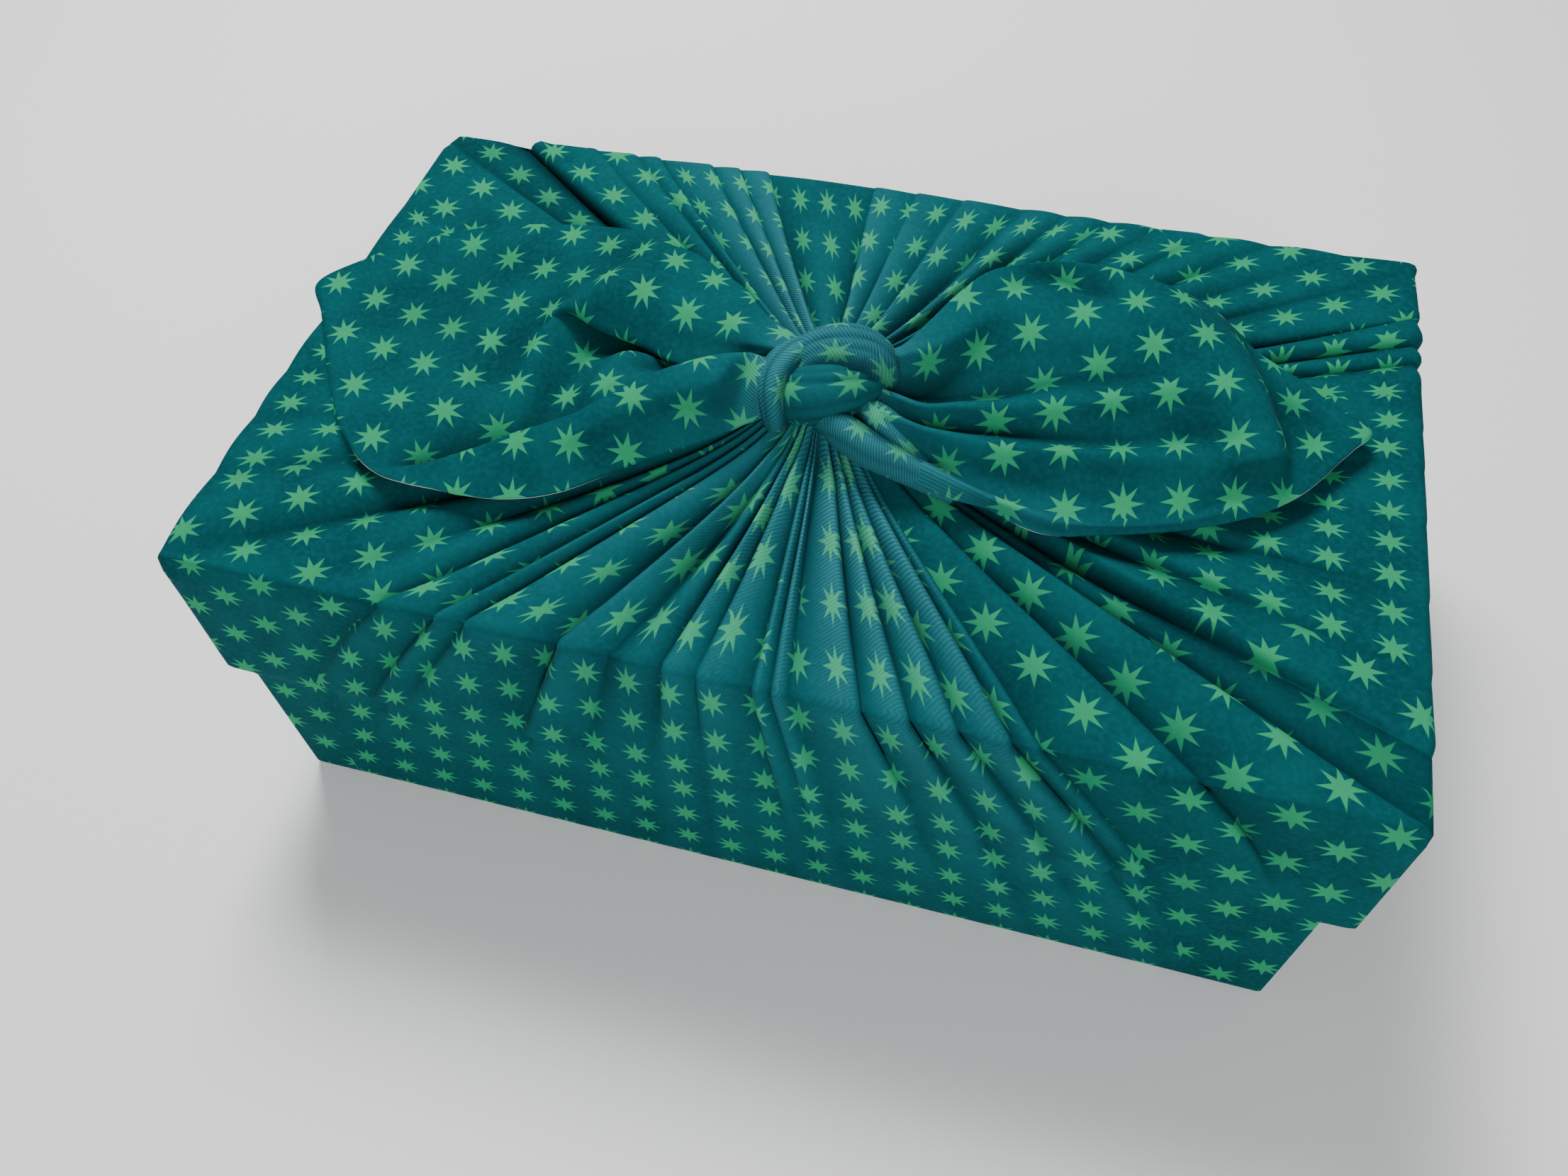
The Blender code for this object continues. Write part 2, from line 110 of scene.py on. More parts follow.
# Creases of the bundle, anticlockwise from the right-hand end.
# angle and near: degrees at the rim, round the aim point, and at the knot, round the neck.
# knot, mid, rim: mm deep at the knot, half way and at the rim. down: share of the side it runs down.
# tile: which edge of the pleat after the crease laps over its neighbour, 1 its first, -1 its last.
# lip: mm that this edge laps over. level: mm that the pleat stands above the rest.
# the last field: how far the stretched pleat shows the pale yarn under the print, paler on its crests, which
# is painted highlight.
CREASE_FIELDS = ("angle", "near", "knot", "mid", "rim", "down", "tile", "lip", "level", "stretch_and_highlight")
CREASES = (
    (1.5, 1, 0.8, 1.6, 0.2, 0.4, 1, 0.3, 0.1, 0.1),
    (6.5, 8, 0.9, 1.4, 0.2, 0.4, 1, 0.3, 0.1, 0.1),
    (11, 13, 0.9, 0.5, 0.1, 0.3, 0, 0, 0, 0.1),
    (15.6, 18, 1.4, 2.9, 1.7, 0.95, 1, 0.9, 0.5, 0.1),
    (18.3, 22, 1.6, 2.9, 1.9, 0.95, 1, 1.3, 1.4, 0.1),
    (21.6, 26, 1.8, 3.6, 0.8, 0.5, 1, 1.3, 0.8, 0.1),
    (27.7, 32, 1.6, 1.9, 0.6, 0.5, 1, 0.7, 0.5, 0.1),
    (32, 37, 1.6, 1.7, 0.6, 0.4, 0, 0, 0.4, 0.1),
    (36.5, 42, 1.6, 3.1, 0.9, 0.5, 0, 0, 0.2, 0.1),
    (41, 48, 1.8, 1.7, 0.5, 0.4, 1, 0.5, 0.3, 0.2),
    (46, 55, 2, 2.4, 0.5, 0.4, 0, 0, 0.2, 0.3),
    (51.5, 63, 2.4, 3.1, 0.7, 0.3, 0, 0, 0.3, 0.4),
    (57.4, 70, 2.6, 3.4, 0.7, 0.3, 0, 0, 0.4, 0.5),
    (64.6, 77, 2.8, 2.8, 0.6, 0.3, -1, 0.5, 0.5, 0.5),
    (75, 84, 2.2, 1.6, 0.4, 0.3, -1, 0.7, 0.3, 0.5),
    (84.7, 90, 2.4, 1.6, 0.4, 0.3, -1, 0.8, 0.3, 0.6),
    (93.6, 94, 2.4, 1.8, 0.4, 0.3, 0, 0, -1.2, 0.3),
    (115, 99, 2.8, 2.2, 0.7, 0.4, 1, 1, 0.8, 1),
    (120, 106, 2.6, 2, 0.5, 0.4, 1, 0.9, 0.5, 1),
    (124.4, 112, 2.6, 2.4, 0.7, 0.4, 1, 0.9, 0.4, 0.7),
    (131.8, 116, 2.4, 1.8, 0.7, 0.4, 1, 0.8, 0.4, 0.4),
    (134.6, 119, 2.6, 2, 0.7, 0.4, 1, 0.7, 0.3, 0.3),
    (139, 123, 2.6, 2, 0.5, 0.4, 1, 0.8, 0.2, 0.2),
    (142.2, 127, 0.4, 0.3, 0.1, 0.1, -1, 2.4, 0.8, 0.1),
    (145.2, 130, 3.5, 5.4, 4.6, 0.6, 0, 0, -2.6, 0.1),
    (152, 140, 1, 2.4, 0.8, 0.4, 1, 0.8, 0.3, 0.1),
    (163, 160, 1.2, 0.9, 0.4, 0.3, 0, 0, 0, 0.1),
    (174, 174, 1.2, 1, 0.4, 0.3, 0, 0, 0.1, 0.1),
    (184, 185, 1.2, 0.9, 0.5, 0.3, 0, 0, 0, 0.1),
    (192, 192, 1.2, 1.3, 0.6, 0.4, 0, 0, 0.1, 0.1),
    (198.5, 198, 1.2, 1.4, 0.7, 0.4, 0, 0, 0.1, 0.1),
    (205.5, 204, 1.4, 2.4, 0.9, 0.4, 0, 0, 0.2, 0.1),
    (213.5, 209, 1.8, 3.2, 1.1, 0.5, 0, 0, 0.3, 0.1),
    (222, 214, 2, 1.9, 0.6, 0.4, 0, 0, 0.1, 0.2),
    (228.5, 219, 2.5, 2.7, 2, 0.7, 1, 0.7, 0.3, 0.3),
    (234, 226, 3, 3.5, 2.4, 0.9, 1, 1, 0.6, 0.4),
    (237, 237, 3, 3.5, 2.2, 0.7, 1, 0.9, 0.3, 0.4),
    (248, 254, 3.2, 4.3, 3, 0.9, 1, 1.2, 0.8, 0.5),
    (254.8, 259, 0.6, 3.5, 2.2, 0.7, 0, 0, -1.2, 0.4),
    (262, 263, 3.2, 4.3, 2, 0.5, 1, 1, 0.4, 0.6),
    (266.9, 271, 3, 3.2, 1.6, 0.5, 1, 1.1, 0.3, 0.6),
    (274.6, 279, 2.8, 2.5, 2.4, 0.85, 1, 0.8, 0.5, 0.6),
    (277.2, 281.5, 2.4, 2, 2, 0.8, 1, 0.7, 0.5, 0.8),
    (279.7, 284, 2.6, 2.2, 1.8, 0.8, -1, 1.2, 0.3, 0.8),
    (288.7, 293, 3, 3.5, 2.6, 0.85, -1, 1.1, 0.2, 0.9),
    (294.4, 300, 3, 3.5, 3, 0.95, -1, 1.1, 0.2, 0.9),
    (299.5, 307, 2.8, 3.2, 3, 0.95, -1, 1.4, 0.8, 0.9),
    (304.4, 313, 3.4, 3.6, 3.4, 0.95, -1, 0.8, -1, 0.5),
    (307, 316, 0.5, 1.6, 2.8, 0.95, -1, 1.4, 0.4, 0.1),
    (317.8, 321, 0.6, 4, 3.6, 0.45, -1, 1.2, 0.8, 0.1),
    (327.5, 327, 2.4, 4.2, 1, 0.5, 0, 0, -3.6, 0.1),
    (332.5, 333, 2, 4, 0.8, 0.5, 1, 0.8, 1, 0.1),
    (338.5, 339, 1.4, 2.6, 0.3, 0.5, 1, 0.4, 0.3, 0.1),
    (345.9, 346, 1.4, 2.8, 0.3, 0.5, 1, 0.7, 0.5, 0.1),
    (354.8, 355, 1, 1.8, 0.2, 0.4, 1, 0.4, 0.2, 0.1),
)

# How the star print lies on each sector of the bundle, from one crease angle on.
# side: which face its rows follow, or corner, where they run towards heading.
# rim_pitch and run_pitch: mm from star to star along the rim, and from the rim inwards.
SECTORS = (
    # start, side, heading, rim_pitch, run_pitch
    (0, "right", 0, 12.7, 17),
    (21.6, "corner", 32, 14, 17.5),
    (51.5, "back", 90, 11.5, 20.5),
    (131.8, "corner", 147, 16, 18.5),
    (163, "left", 180, 12.5, 16.5),
    (205.5, "corner", 214, 14.5, 17),
    (228.5, "front", 270, 11.8, 22.5),
    (307, "corner", 323, 16, 18),
    (338.5, "right", 0, 12.7, 17),
)
FOOT_PITCH = 15.3 * MM
LEAST_PITCH = 10.0 * MM
# How far the print is shifted from pleat to pleat, in stars, and how it fades to the rim
PRINT_DRIFT = 0.42
DRIFT_FADE = 0.7

# Fold lines of the free corners, from the back hem to the front hem. Each runs from the
# knot to the hem in ten equal steps: x, y, z above the box top, in mm.
LEFT_FOLDS = (
    ((-10, 2, 20), (-16, 6.5, 19), (-22, 11, 18), (-27.5, 16.5, 18), (-33, 22, 18), (-42.5, 27.5, 18.5),
     (-51.5, 33, 19), (-61.5, 34, 20.5), (-75.5, 44.5, 15), (-104, 48.5, 10), (-128.5, 45.5, 8)),
    ((-9.5, -2, 22), (-15.5, 1, 21), (-21, 4, 20.5), (-27.5, 8, 20), (-34, 12.5, 20), (-43.5, 14.5, 20.5),
     (-53.5, 17, 21), (-63.5, 20, 22.5), (-76.5, 31, 15.5), (-111, 38.5, 9), (-143.5, 39.5, 6.5)),
    ((-10, -5, 23), (-15.5, -3, 22), (-21, -1, 21.5), (-28.5, 2.5, 21), (-35.5, 5.5, 20.5), (-46.5, 7, 21),
     (-57.5, 8.5, 22), (-68.5, 13.5, 23.5), (-80.5, 22.5, 16), (-112.5, 30, 7.5), (-156.5, 32.5, 5.5)),
    ((-11, -7, 23), (-16.5, -5, 22), (-22, -3.5, 20.5), (-29.5, -1, 19.5), (-37.5, 1, 18.5),
     (-50.5, 2.5, 19), (-63.5, 3.5, 20), (-75.5, 8.5, 22), (-85.5, 15, 15), (-114.5, 18.5, 7),
     (-168.5, 21.5, 5)),
    ((-12.5, -7, 21.5), (-18, -5.5, 20), (-23.5, -4, 18.5), (-31.5, -3.5, 17), (-39.5, -3, 16),
     (-54, -1, 16.5), (-69, 0.5, 17), (-81.5, 5, 19), (-89.5, 9, 13), (-115.5, 6.5, 6.5), (-178.5, 6, 5)),
    ((-15, -6, 19), (-21, -5, 17.5), (-26.5, -4.5, 16), (-33.5, -7.5, 14.5), (-42.5, -10, 13.5),
     (-57, -4.5, 13), (-74, -1, 13.5), (-87.5, 3, 15), (-93, 2.5, 11), (-116, -4, 6), (-170.5, -6, 5)),
    ((-17.5, -2, 15), (-24, 0, 12.5), (-30, 2.5, 10), (-39.5, 2, 8), (-48.5, 1.5, 6.5), (-63.5, 6.5, 6),
     (-77.5, 7.5, 7.5), (-89.5, 2, 12.5), (-94, 0.5, 9.5), (-115.5, -11.5, 6), (-163, -18, 5)),
    ((-18.5, -1.5, 13), (-24, -2, 11), (-30, -2, 8.5), (-38.5, -3, 7), (-47, -4, 6), (-62, -1.5, 5.5),
     (-77, 0, 5.5), (-92, -2.5, 11.5), (-96, -3, 8.5), (-117, -19, 6), (-154, -32.5, 5)),
    ((-18, -5, 14), (-24, -5, 12), (-30, -5, 9.5), (-46, -7, 7.5), (-62.5, -7.5, 12), (-68, -4.5, 7),
     (-77.5, -7.5, 5), (-91.5, -10, 11), (-95.5, -11, 8), (-117.5, -25.5, 6), (-148.5, -40.5, 5)),
    ((-17.5, -9, 16), (-23, -8.5, 14), (-29, -8, 12), (-51, -11.5, 9.5), (-65.5, -13.5, 12.5),
     (-71.5, -11, 6.5), (-79, -15.5, 5), (-90.5, -17.5, 10.5), (-94.5, -19, 8), (-119, -31.5, 6.5),
     (-142.5, -48.5, 5)),
    ((-16.5, -14, 19), (-22, -12.5, 18), (-28, -11.5, 17), (-49, -16, 13), (-68, -22, 12),
     (-74, -20.5, 6.5), (-80.5, -24.5, 5), (-89.5, -24.5, 9.5), (-94, -26, 8), (-118, -39, 7.5),
     (-135, -56.5, 5)),
    ((-16, -15, 22), (-21.5, -15, 21), (-27, -16.5, 20), (-44, -24.5, 16.5), (-60.5, -38, 11.5),
     (-68, -43.5, 8.5), (-76.5, -47.5, 6.5), (-84, -50, 5.5), (-90, -52, 5), (-104, -58.5, 5),
     (-124.5, -64.5, 5)),
    ((-16, -13.5, 25), (-20.5, -13, 25.5), (-26, -14.5, 25.5), (-43, -22.5, 23.5), (-59, -35.5, 20),
     (-66.5, -41, 17.5), (-75, -45, 15), (-82.5, -47.5, 12.5), (-88.5, -50.5, 10.5), (-101.5, -58, 8),
     (-119.5, -66.5, 5)),
    ((-14.5, -19.5, 24), (-21.5, -18, 21.5), (-27, -24.5, 24), (-40, -29.5, 22.5), (-55, -40.5, 19),
     (-62, -45.5, 17), (-69.5, -49.5, 14.5), (-77, -52.5, 12.5), (-84, -55, 10.5), (-97, -61.5, 8),
     (-110.5, -68, 5.5)),
    ((-14.5, -23, 19), (-22, -23, 16.5), (-31, -30, 18), (-39, -33.5, 17.5), (-52, -43, 15),
     (-58.5, -47.5, 13.5), (-65, -52, 12), (-72, -56, 10.5), (-78.5, -59, 9), (-89.5, -64, 7.5),
     (-100, -68.5, 6)),
    ((-14.5, -24.5, 12), (-19.5, -28.5, 11.5), (-24, -32.5, 11), (-36.5, -41, 9.5), (-47.5, -48, 8),
     (-52.5, -52, 7.5), (-58, -56.5, 7), (-63.5, -60.5, 6.5), (-69.5, -63.5, 6), (-81, -67, 5.5),
     (-94, -68.5, 5.5)),
)
RIGHT_FOLDS = (
    ((9.5, -1.5, 20), (18.5, 2.5, 21), (26.5, 13.5, 24), (32, 23.5, 26), (40.5, 35, 28), (51, 42, 27.5),
     (67.5, 46.5, 27), (83, 46.5, 25.5), (95, 46, 23), (105, 46, 19), (114.5, 43.5, 14)),
    ((11, -4, 21), (20, 3, 22), (29, 9.5, 23), (35, 18.5, 25), (43.5, 29.5, 26), (58.5, 40.5, 24),
     (72.5, 38.5, 23.5), (87.5, 37.5, 26.5), (104.5, 36, 23), (116.5, 40.5, 14), (122.5, 44, 6)),
    ((12, -6, 21.5), (21.5, 0.5, 22), (31, 6.5, 22), (39, 14, 23.5), (47, 21.5, 25), (62, 26.5, 26),
     (76, 28.5, 27), (94.5, 29, 26), (114.5, 29.5, 21), (121, 36, 11), (129.5, 39.5, 5.5)),
    ((12.5, -6, 20), (22, -1, 17.5), (32, 4.5, 15.5), (40, 10.5, 18), (48.5, 16, 21), (63.5, 18, 23.5),
     (79.5, 19.5, 25.5), (99.5, 20, 25), (118, 23.5, 20.5), (124, 31, 10), (138.5, 33, 5.5)),
    ((13, -5.5, 17), (22, -2, 12.5), (31.5, 1.5, 10.5), (41, 6, 13.5), (51, 10, 16.5), (65, 12, 19.5),
     (82, 13, 21.5), (104.5, 14.5, 23), (121, 16.5, 20.5), (126.5, 24.5, 9.5), (147.5, 24.5, 5.5)),
    ((13.5, -5, 15), (23, -4, 10), (32.5, -2.5, 8.5), (42.5, -1, 10.5), (53, 0.5, 13), (66.5, 5, 16.5),
     (83.5, 9, 19), (106.5, 11, 22.5), (123, 11, 20.5), (129, 18, 9), (157.5, 17, 5.5)),
    ((15, -12, 19.5), (22.5, -14, 19), (30.5, -16.5, 19), (40.5, -15, 19.5), (51, -13, 20),
     (67.5, -8.5, 21), (84.5, -2.5, 22), (105, 8, 22.5), (125, 5, 20), (131, 12.5, 8.5), (152.5, 9, 5.5)),
    ((14.5, -12, 17.5), (22, -14, 16), (30, -16.5, 15), (41, -16, 15.5), (52, -15.5, 16), (68.5, -12.5, 17),
     (85.5, -7, 18), (106, 1.5, 19), (127, 0.5, 19), (133, 7.5, 8), (148.5, 3, 5.5)),
    ((14, -14, 16.5), (22.5, -16, 15), (31.5, -17.5, 13), (42, -17, 13), (52.5, -16, 13.5), (69.5, -15, 14),
     (87, -11.5, 14.5), (108.5, -4, 15.5), (129, -4, 18), (134, 2.5, 7.5), (144.5, -3.5, 5.5)),
    ((14.5, -18.5, 19), (23, -21, 18.5), (32, -23.5, 18), (42.5, -24.5, 18), (52.5, -25.5, 18.5),
     (68, -24, 18.5), (86, -21.5, 18), (106.5, -16, 16), (131, -8, 15), (135, -2.5, 7), (140, -10, 5.5)),
    ((13.5, -19.5, 18), (22.5, -22, 17), (32, -24.5, 15.5), (42.5, -26.5, 15.5), (53, -28.5, 15.5),
     (68.5, -27.5, 15), (87.5, -25.5, 14), (106.5, -22, 12.5), (128, -12, 11), (133.5, -10, 7.5),
     (134.5, -16, 5.5)),
    ((12, -19, 16), (21.5, -22, 14), (31, -25, 11.5), (42.5, -28, 11.5), (54, -30.5, 11.5), (70, -31, 11),
     (88.5, -31, 10.5), (106.5, -27.5, 9.5), (123.5, -18.5, 8.5), (127.5, -18, 7.5), (128, -21.5, 5.5)),
    ((10.5, -18.5, 14), (18.5, -21, 11.5), (26.5, -23.5, 9), (39, -28.5, 9), (51, -34, 9), (66.5, -36, 9),
     (86.5, -35.5, 8.5), (101.5, -32.5, 8), (114, -27.5, 7.5), (117.5, -26, 7), (118, -27.5, 5.5)),
    ((9.5, -23, 17), (15.5, -27, 16), (25.5, -31.5, 15), (36.5, -33.5, 13.5), (47, -36, 12),
     (58.5, -39, 10.5), (74, -40.5, 8.5), (87, -38, 7), (96.5, -35.5, 6.5), (102.5, -34, 6),
     (105.5, -33, 5.5)),
    ((8, -24.5, 11), (14.5, -30.5, 10.5), (23.5, -33.5, 9.5), (33.5, -36.5, 9), (45, -38.5, 8),
     (55.5, -39, 7), (62, -41.5, 6.5), (68.5, -43, 6), (75, -42.5, 5.5), (80, -41, 5.5), (85, -39, 5.5)),
)

# Mesh and thickness of the free corners
TAIL_ROWS = 195
TAIL_STEPS = 220
CLOTH_THICK = 0.6 * MM

# Flattening the free corners for their print: each line starts FAN_RADIUS from the fan's middle
FAN_RADIUS = 6.0 * MM
FLAT_ROUNDS = 60
FLAT_STRIDE = 5
LEAST_WEIGHT = 0.05
MOST_WEIGHT = 20.0
# Heading of the print in degrees, and x and y in mm of the star that it is laid by
LEFT_PRINT = (-11.0, (-140.7, -0.1))
RIGHT_PRINT = (18.0, (102.2, -11.2))
PRINT_PATCH = 30.0 * MM

# Bands of the knot: points along each band in mm above the box top, with the half
# width and half thickness of its rounded section there.
KNOT_UPPER = (
    # x, y, z, half_width, half_thick
    (-9.5, -11, 14, 7.5, 4.5),
    (-6.5, -9.5, 19.8, 9, 6),
    (-2.5, -7, 23.6, 10, 7),
    (4, -5.2, 25.2, 10, 7.4),
    (10, -4, 24.2, 10.2, 7.4),
    (14.5, -4.2, 21, 9.2, 7),
    (16.5, -3.5, 15, 6, 5.5),
)
KNOT_LOWER = (
    (-10.5, -16.5, 13, 8, 5),
    (-6, -18.5, 17.5, 8.6, 6.5),
    (0, -19.2, 19.8, 9, 7.8),
    (5.5, -17.6, 20.6, 8.6, 8),
    (10.5, -13.5, 19.4, 7.2, 7.4),
    (14, -8.5, 17.6, 5, 6),
    (15.5, -3.5, 14, 4, 4),
)
KNOT_LEFT_BAND = (
    (-2, 0, 20, 4, 3.5),
    (-5.5, -5, 22.6, 6.4, 4.6),
    (-9.5, -10, 23.4, 7.8, 5),
    (-12, -14.5, 22, 8, 5),
    (-12.5, -19, 19.2, 7.4, 5),
    (-11.5, -22, 15, 6.4, 4.5),
    (-10.5, -22.5, 9, 4.5, 4),
)
KNOT_RIGHT_BAND = (
    (0, -19, 12, 4, 3.5),
    (6, -23.5, 14, 5.5, 4.2),
    (11.5, -27, 14, 6.2, 4.4),
    (19, -30.5, 13, 6, 4),
    (27.5, -32.5, 11.5, 5.2, 3.2),
    (36, -34, 9, 4, 2.4),
    (45, -36, 6, 2.2, 1.4),
)
KNOT_INNER_BAND = (
    (9, -14, 14, 3, 3),
    (13.5, -16.5, 15.5, 4.2, 3.8),
    (19, -19.5, 15, 4.8, 4),
    (25.5, -22.5, 12, 4.8, 3.6),
    (32, -25.5, 8.5, 4, 2.6),
    (38, -28, 6, 2.6, 1.6),
)
KNOT_MIDDLE = np.array((1.0, -11.0, 14.0)) * MM + np.array((0.0, 0.0, HEIGHT))
BAND_SIDES = 64
BAND_STEPS = 72
BANDS = (
    # name, route, grooves, pale share of the stretched cloth, offset of the print in stars
    # A groove: degrees round the band, depth as a share of its radius, degrees wide, degrees of drift
    ("knot_upper", KNOT_UPPER,
     ((32, 0.08, 6, 12), (58, 0.12, 6, 25), (92, 0.08, 5, -20), (124, 0.10, 6, 12)),
     0.50, (0.3, 0)),
    ("knot_lower", KNOT_LOWER,
     ((40, 0.10, 6, 15), (72, 0.07, 5, 22), (118, 0.12, 6, -24), (142, 0.08, 6, -10)),
     0.22, (0.45, 0.8)),
    ("knot_left_band", KNOT_LEFT_BAND,
     ((56, 0.12, 6, 15), (88, 0.08, 5, 8), (120, 0.11, 6, -12)), 0.62, (0.1, 0.6)),
    ("knot_right_band", KNOT_RIGHT_BAND, ((100, 0.06, 9, 25),), 0.65, (0.5, 0.1)),
    ("knot_inner_band", KNOT_INNER_BAND, ((90, 0.04, 9, 25),), 0.55, (0.2, 0.6)),
)

# The print: star and rib sizes, the stars' outline in shares of their pitch, and the ribs' slant
STAR_PITCH = 15.6 * MM
BAND_PITCH = 12.8 * MM
STAR_POINTS = 8
STAR_TIP = 0.362
STAR_WAIST = 0.140
STAR_EDGE = 0.008
RIB_PITCH = 0.9 * MM
RIBS_ALONG = 0.92 * STAR_PITCH / RIB_PITCH
RIBS_ACROSS = 0.40 * STAR_PITCH / RIB_PITCH

# Painted shade in the bundle's hollows: the depth where it is darkest, and how the dark fades down its sides
HOLLOW_DEPTH = 4.0 * MM
HOLLOW_CURVE = 1.3
HOLLOW_REACH = 0.110
# The same painted shade on the free corners, where a point is compared with its wide surroundings
TAIL_HOLLOW_DEPTH = 1.8 * MM
HOLLOW_ROUNDS = 70
# Painted shade on the bands: how dark their grooves are, and on the side of a band that faces the knot
GROOVE_SHADE = 7.0
TUCK_SHADE = 0.9
TUCK_START = 0.60
TUCK_SPAN = 0.75
# Where the stretched cloth is pale: on the bundle from the knot outwards, with painted highlight
# on its crests, on the free corners from the knot on, and along the right corner's front hem
STRETCH_AND_HIGHLIGHT_REACH = 0.095
# Share of the pale kept off the crests; the rest is painted highlight on the crests
OFF_CREST_SHARE = 0.35
TAIL_WORN = 0.55
TAIL_WORN_REACH = 0.16
HEM_WORN = 0.7
HEM_WORN_REACH = 0.45
RIGHT_WORN_ROWS = (0.72, 0.95)

# Colours
TEAL = (0.0, 0.068, 0.073, 1.0)
TEAL_DEEP = (0.0, 0.048, 0.054, 1.0)
# Painted shade: the colour that creases and hollows are darkened towards
PAINTED_SHADE_TEAL = (0.0, 0.012, 0.016, 1.0)
HEATHER = (0.004, 0.105, 0.115, 1.0)
# Pale teal of the stretched cloth, also used for painted highlight on the crests
STRETCH_AND_HIGHLIGHT_TEAL = (0.035, 0.205, 0.250, 1.0)
STAR_GREEN = (0.024, 0.290, 0.120, 1.0)
# Pale green of the stretched stars, also used for painted highlight on the crests
STRETCH_AND_HIGHLIGHT_GREEN = (0.080, 0.410, 0.240, 1.0)
RIB_PALE = (0.11, 0.26, 0.31, 1.0)
RIB_DEEP = (0.0, 0.03, 0.04, 1.0)
SHEEN_TINT = (0.45, 0.85, 0.90, 1.0)
REVERSE_WHITE = (0.62, 0.66, 0.66, 1.0)
SHOWING_TEAL = (0.30, 0.45, 0.46, 1.0)
FLOOR_GREY = (0.86, 0.86, 0.86, 1.0)
SURROUND_COLOUR = (0.95, 0.97, 1.0, 1.0)
SURROUND_STRENGTH = 0.26
# Noise: scale and detail
MOTTLING = (45.0, 3.0)
SPECKLE = (620.0, 3.0)
GRAIN = (1400.0, 2.0)
REVERSE_GRAIN = (1500.0, 2.0)
# Shares of the colours and of the relief
HEATHER_SHARE = 0.35
# How far the stretched cloth and the painted highlight on the crests pale the teal and the stars
STRETCH_AND_HIGHLIGHT_TEAL_SHARE = 0.9
STRETCH_AND_HIGHLIGHT_GREEN_SHARE = 0.8
STAR_GAPS = 0.25
# Painted shade: how far the creases and hollows are darkened
PAINTED_SHADE_SHARE = 0.72
SHOW_SHARE = 0.25
RIB_WORN = (0.12, 0.6)
RIB_CONTRAST = 0.20
RIB_SHADE = 1.6
RIB_RELIEF = 0.35
RIB_RELIEF_LEAST = 0.08
GRAIN_RELIEF = 0.35

FLOOR_HALF = 6.0
FLOOR_GAP = 0.2 * MM
# name, place, target, size, power: a big panel above and behind, and a weaker one in front
LIGHTS = (
    ("key_panel", (-0.40, 0.62, 1.25), (0, 0, 0.1), 0.5, 28.0),
    ("front_panel", (0.5, -1.4, 0.9), (0, 0, 0.05), 0.9, 20.0),
)
# The camera, fitted to the box's corners in the photo. Its axes point right, up and back.
CAMERA_LENS = 28.21
CAMERA_PLACE = (0.06598431, -0.26291737, 0.39443935)
CAMERA_AXES = (
    (0.96410182, 0.26361173, -0.0318831),
    (-0.19514737, 0.78484519, 0.58816284),
    (0.18006992, -0.56082697, 0.80811381),
)


def smooth_step(x):
    """Ease from 0 to 1 as x goes from 0 to 1."""
    x = np.clip(x, 0.0, 1.0)
    return x * x * (3.0 - 2.0 * x)


def hermite(start, end, slope, end_slope, u, gap=1.0):
    """Cubic from start to end, a gap apart, with these slopes at its ends, as u goes from 0 to 1."""
    return ((2 * u ** 3 - 3 * u ** 2 + 1) * start + (u ** 3 - 2 * u ** 2 + u) * gap * slope
            + (3 * u ** 2 - 2 * u ** 3) * end + (u ** 3 - u ** 2) * gap * end_slope)


def span_places(values, steps):
    """The span between rows of values that each of so many steps falls in, and its place there."""
    t = np.linspace(0, len(values) - 1, steps + 1)
    k = np.minimum(t.astype(int), len(values) - 2)
    return k, (t - k).reshape((-1,) + (1,) * (values.ndim - 1))


def spline(values, steps):
    """Smooth curve through equally spaced rows of values."""
    k, u = span_places(values, steps)
    slope = (values[k + 1] - values[np.maximum(k - 1, 0)]) / 2
    end_slope = (values[np.minimum(k + 2, len(values) - 1)] - values[k]) / 2
    return hermite(values[k], values[k + 1], slope, end_slope, u)


def chord_spline(values, steps):
    """Smooth curve through rows of points, eased by the gaps between them so that it does not overshoot."""
    k, u = span_places(values, steps)
    gap = np.maximum(np.linalg.norm(np.diff(values, axis=0), axis=-1), 1e-6)[..., None]
    slope = np.diff(values, axis=0) / gap
    inner = (slope[:-1] * gap[1:] + slope[1:] * gap[:-1]) / (gap[:-1] + gap[1:])
    tangent = np.concatenate([slope[:1], inner, slope[-1:]])
    return hermite(values[k], values[k + 1], tangent[k], tangent[k + 1], u, gap[k])


def add_object(name, data):
    """New object in the scene."""
    added = bpy.data.objects.new(name, data)
    bpy.context.scene.collection.objects.link(added)
    return added


def make_mesh(name, verts, face_groups, uvs, looks, slots=0):
    """New smooth-shaded object. A group's faces have equally many corners; uvs has a row for each corner."""
    corners = np.concatenate([group.ravel() for group in face_groups])
    sides = np.concatenate([np.full(len(group), group.shape[1]) for group in face_groups])
    mesh = bpy.data.meshes.new(name)
    mesh.vertices.add(len(verts))
    mesh.vertices.foreach_set("co", np.asarray(verts, np.float32).ravel())
    mesh.loops.add(len(corners))
    mesh.loops.foreach_set("vertex_index", corners.astype(np.int32))
    mesh.polygons.add(len(sides))
    mesh.polygons.foreach_set("loop_start", (np.cumsum(sides) - sides).astype(np.int32))
    mesh.polygons.foreach_set("use_smooth", np.ones(len(sides), bool))
    mesh.polygons.foreach_set("material_index", np.broadcast_to(slots, len(sides)).astype(np.int32))
    mesh.update()
    mesh.uv_layers.new(name="cloth").data.foreach_set("uv", uvs.astype(np.float32).ravel())
    for key, values in looks.items():
        layer = mesh.attributes.new(key, "FLOAT", "POINT")
        layer.data.foreach_set("value", values.astype(np.float32).ravel())
    mesh.validate()
    return add_object(name, mesh)


